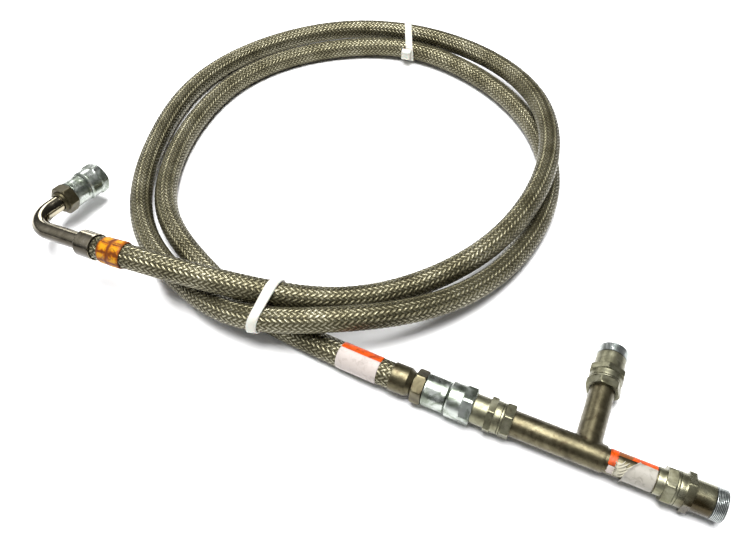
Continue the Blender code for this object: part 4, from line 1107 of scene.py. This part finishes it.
def straight_end():
    """Along X: the union's shoulder, the rear of the nipple's hex and the end of the hose."""
    shoulder = TEE_CENTRE[0] - TEE_REACH - GAP - BARREL_LENGTH
    hex_rear = shoulder - UNION_BACK - GAP - NIPPLE_HEX
    ferrule_mouth = hex_rear - NIPPLE_NECK - GAP - FERRULE_LENGTH
    return shoulder, hex_rear, ferrule_mouth + FERRULE_GRIP


def make_straight_end(place):
    shoulder, hex_rear, hose_end = straight_end()
    hex_bottom = hex_rear - shoulder
    hex_top = -UNION_BACK - GAP
    neck_bottom = hex_bottom - NIPPLE_NECK
    stop = hose_end - shoulder + GAP
    turned("nipple_turned", place, [
        (NIPPLE_TAIL_R, stop), (NIPPLE_TAIL_R, neck_bottom), (NIPPLE_NECK_R, neck_bottom),
        (NIPPLE_NECK_R, hex_bottom), *hex_profile(hex_bottom, hex_top), (SPIGOT_R, hex_top),
        (SPIGOT_R, -UNION_BACK + SPIGOT), (NIPPLE_BORE_R, -UNION_BACK + SPIGOT), (NIPPLE_BORE_R, stop),
    ], "patina", "hose_line", "hose_nipple", hexed=adapter_hex(hex_bottom, hex_top, NIPPLE_TURN))
    top = neck_bottom - GAP
    mouth = top - FERRULE_LENGTH
    turned("crimp_ferrule", place, [
        (FERRULE_R, mouth), (FERRULE_R, top - FERRULE_TAPER), (NIPPLE_NECK_R, top),
        (NIPPLE_TAIL_R + GAP, top), (NIPPLE_TAIL_R + GAP, stop), (HOSE_R + GAP, stop), (HOSE_R + GAP, mouth),
    ], "patina", "hose_line", "hose_ferrule", edge=FERRULE_EDGE)


# Elbow end

def elbow_directions():
    heading, pitch, droop = (math.radians(a) for a in (ELBOW_HEADING, ELBOW_PITCH, ELBOW_DROOP))
    hose_leg = Vector((math.cos(pitch) * math.cos(heading), math.cos(pitch) * math.sin(heading),
                       math.sin(pitch)))
    level = Vector((-math.sin(heading), math.cos(heading), 0.0))
    return hose_leg, level * math.cos(droop) + hose_leg.cross(level) * math.sin(droop)


def make_elbow_end(corner, hose_leg, coupling_leg, coupling_place):
    web = COLLAR_AT + COLLAR_LENGTH - COLLAR_GRIP - COLLAR_WEB
    mouth = COLLAR_AT + COLLAR_LENGTH
    turned("elbow_collar", axis_frame(corner, hose_leg), [
        (ELBOW_TUBE_R + COLLAR_LIP, COLLAR_AT - COLLAR_LIP), (ELBOW_TUBE_R + COLLAR_LIP, COLLAR_AT),
        (COLLAR_R - BODY_CHAMFER, COLLAR_AT), (COLLAR_R, COLLAR_AT + BODY_CHAMFER), (COLLAR_R, mouth),
        (HOSE_R + GAP, mouth), (HOSE_R + GAP, web + COLLAR_WEB),
        (ELBOW_TUBE_R - ELBOW_TUBE_WALL, web + COLLAR_WEB), (ELBOW_TUBE_R - ELBOW_TUBE_WALL, web),
        (ELBOW_TUBE_R + GAP, web), (ELBOW_TUBE_R + GAP, COLLAR_AT - COLLAR_LIP),
    ], "stainless", "hose_line", "elbow_ferrule", edge=COLLAR_EDGE)
    hex_top = -ELBOW_BACK - GAP
    hex_bottom = hex_top - ELBOW_HEX
    sleeve_bottom = hex_bottom - ELBOW_SLEEVE
    tube_end = sleeve_bottom + TUBE_SEAT
    turned("elbow_hex_turned", coupling_place, [
        (ELBOW_SLEEVE_R - HEX_CHAMFER, sleeve_bottom), (ELBOW_SLEEVE_R, sleeve_bottom + HEX_CHAMFER),
        (ELBOW_SLEEVE_R, hex_bottom), *hex_profile(hex_bottom, hex_top), (SPIGOT_R, hex_top),
        (SPIGOT_R, -ELBOW_BACK + SPIGOT), (SPIGOT_BORE_R, -ELBOW_BACK + SPIGOT), (SPIGOT_BORE_R, tube_end),
        (ELBOW_TUBE_R + GAP, tube_end), (ELBOW_TUBE_R + GAP, sleeve_bottom),
    ], "patina", "hose_line", "elbow_hex_adapter", hexed=adapter_hex(hex_bottom, hex_top, ELBOW_HEX_TURN))
    centre = corner + (hose_leg + coupling_leg) * ELBOW_BEND_R
    past_bend = ELBOW_BEND_R + 0.001
    path = [corner + hose_leg * t for t in np.linspace(web - GAP, past_bend, 8)]
    for angle in np.linspace(0.0, math.pi / 2, 33):
        path.append(centre - (coupling_leg * math.cos(angle) + hose_leg * math.sin(angle)) * ELBOW_BEND_R)
    path += [corner + coupling_leg * t for t in np.linspace(past_bend, ELBOW_SHOULDER_AT + tube_end - GAP, 8)]
    swept("elbow_bend", path, ELBOW_TUBE_R, "stainless", "hose_line", "elbow_tube", sides=64)


# Studio

def make_camera():
    data = bpy.data.cameras.new("photo_camera")
    data.sensor_width = SENSOR_WIDTH
    data.lens = SENSOR_WIDTH * FOCAL_SHARE
    data.clip_start, data.clip_end = CLIP
    camera = add_object("photo_camera", data)
    right = Vector(CAMERA_RIGHT).normalized()
    camera.matrix_world = frame_at(CAMERA_AT, right, -Vector(CAMERA_LOOK).normalized())
    bpy.context.scene.camera = camera
    bpy.context.scene.view_settings.view_transform = "Standard"


def make_light(name, place, target, size, power):
    light = bpy.data.lights.new(name, "AREA")
    light.shape = "RECTANGLE"
    light.size, light.size_y = size
    light.energy = power
    lamp = add_object(name, light)
    lamp.location = place
    lamp.rotation_euler = (Vector(target) - Vector(place)).to_track_quat("-Z", "Y").to_euler()


def make_floor():
    bm = bmesh.new()
    bmesh.ops.create_grid(bm, x_segments=8, y_segments=8, size=FLOOR_REACH)
    mesh = bpy.data.meshes.new("floor")
    bm.to_mesh(mesh)
    bm.free()
    mesh.materials.append(plain_material("white_floor", 3.0, ((0.93, 0.93, 0.935), (0.96, 0.96, 0.96)),
                                         Roughness=0.9))
    add_object("floor", mesh)


def make_world():
    """A room that is bright overhead and dark at the level of the floor."""
    world = bpy.data.worlds.new("studio")
    bpy.context.scene.world = world
    paint = Paint(world, "Background")
    towards = paint.vector_math("DOT_PRODUCT", "Generated", Vector(ROOM_BRIGHT_SIDE).normalized())
    stops = [(position, (value, value, value * ROOM_BLUE)) for position, value in ROOM_LEVELS]
    paint.set(Color=paint.ramp(paint.math("MULTIPLY_ADD", towards, 0.5, 0.5), *stops))


def dress_inner_nodes():
    """Materials for the CAD pieces that stay as they are."""
    slots = {s["node"]: s["material_slot"] for s in frame["record"]["subparts"]}
    for name, node in frame["nodes"].items():
        if slots[name] in ("valve_steel", "spring_steel", "gasket"):
            node.data.materials.clear()
            node.data.materials.append(FINISHES[slots[name]][1])


def build():
    make_camera()
    tee_centre = Vector((*TEE_CENTRE, RUN_HEIGHT))
    hose_leg, coupling_leg = elbow_directions()
    corner = Vector(ELBOW_CORNER)
    shoulder, _, hose_end = straight_end()
    route = Route(corner + hose_leg * (COLLAR_AT + COLLAR_LENGTH - COLLAR_GRIP + GAP), hose_leg,
                  Vector((hose_end, TEE_CENTRE[1], RUN_HEIGHT)), Vector((1.0, 0.0, 0.0)))
    core = make_core(route)
    on_hose = [*make_braid(route), make_frayed_wires(route), make_tape(route), *make_hose_label(route)]
    for name, crossings, head in TIES:
        on_hose += make_tie(name, route, crossings, head)

    union_place = axis_frame(Vector((shoulder, TEE_CENTRE[1], RUN_HEIGHT)), (1.0, 0.0, 0.0))
    coupling_place = axis_frame(corner + coupling_leg * ELBOW_SHOULDER_AT, coupling_leg)
    make_elbow_end(corner, hose_leg, coupling_leg, coupling_place)
    make_female_half("elbow", coupling_place, ELBOW_BACK, ELBOW_NUT_TURN)
    make_straight_end(union_place)
    make_female_half("union", union_place, UNION_BACK, UNION_NUT_TURN)
    make_tee(tee_centre)
    make_tee_label(tee_centre)
    for prefix, direction, tube_r, turns, finish, neck in (
            ("union", (-1.0, 0.0, 0.0), RUN_R, UNION_ARM_TURNS, "plated", ()),
            ("branch", (0.0, 1.0, 0.0), BRANCH_R, BRANCH_ARM_TURNS, "plated", ()),
            ("end", (1.0, 0.0, 0.0), STUB_R, END_ARM_TURNS, "stained", (END_NECK_R, END_NECK))):
        make_male_half(prefix, axis_frame(tee_centre, direction), tube_r, turns, finish, neck)
    dress_inner_nodes()
    make_floor()
    make_world()
    for light in LIGHTS:
        make_light(*light)


build()
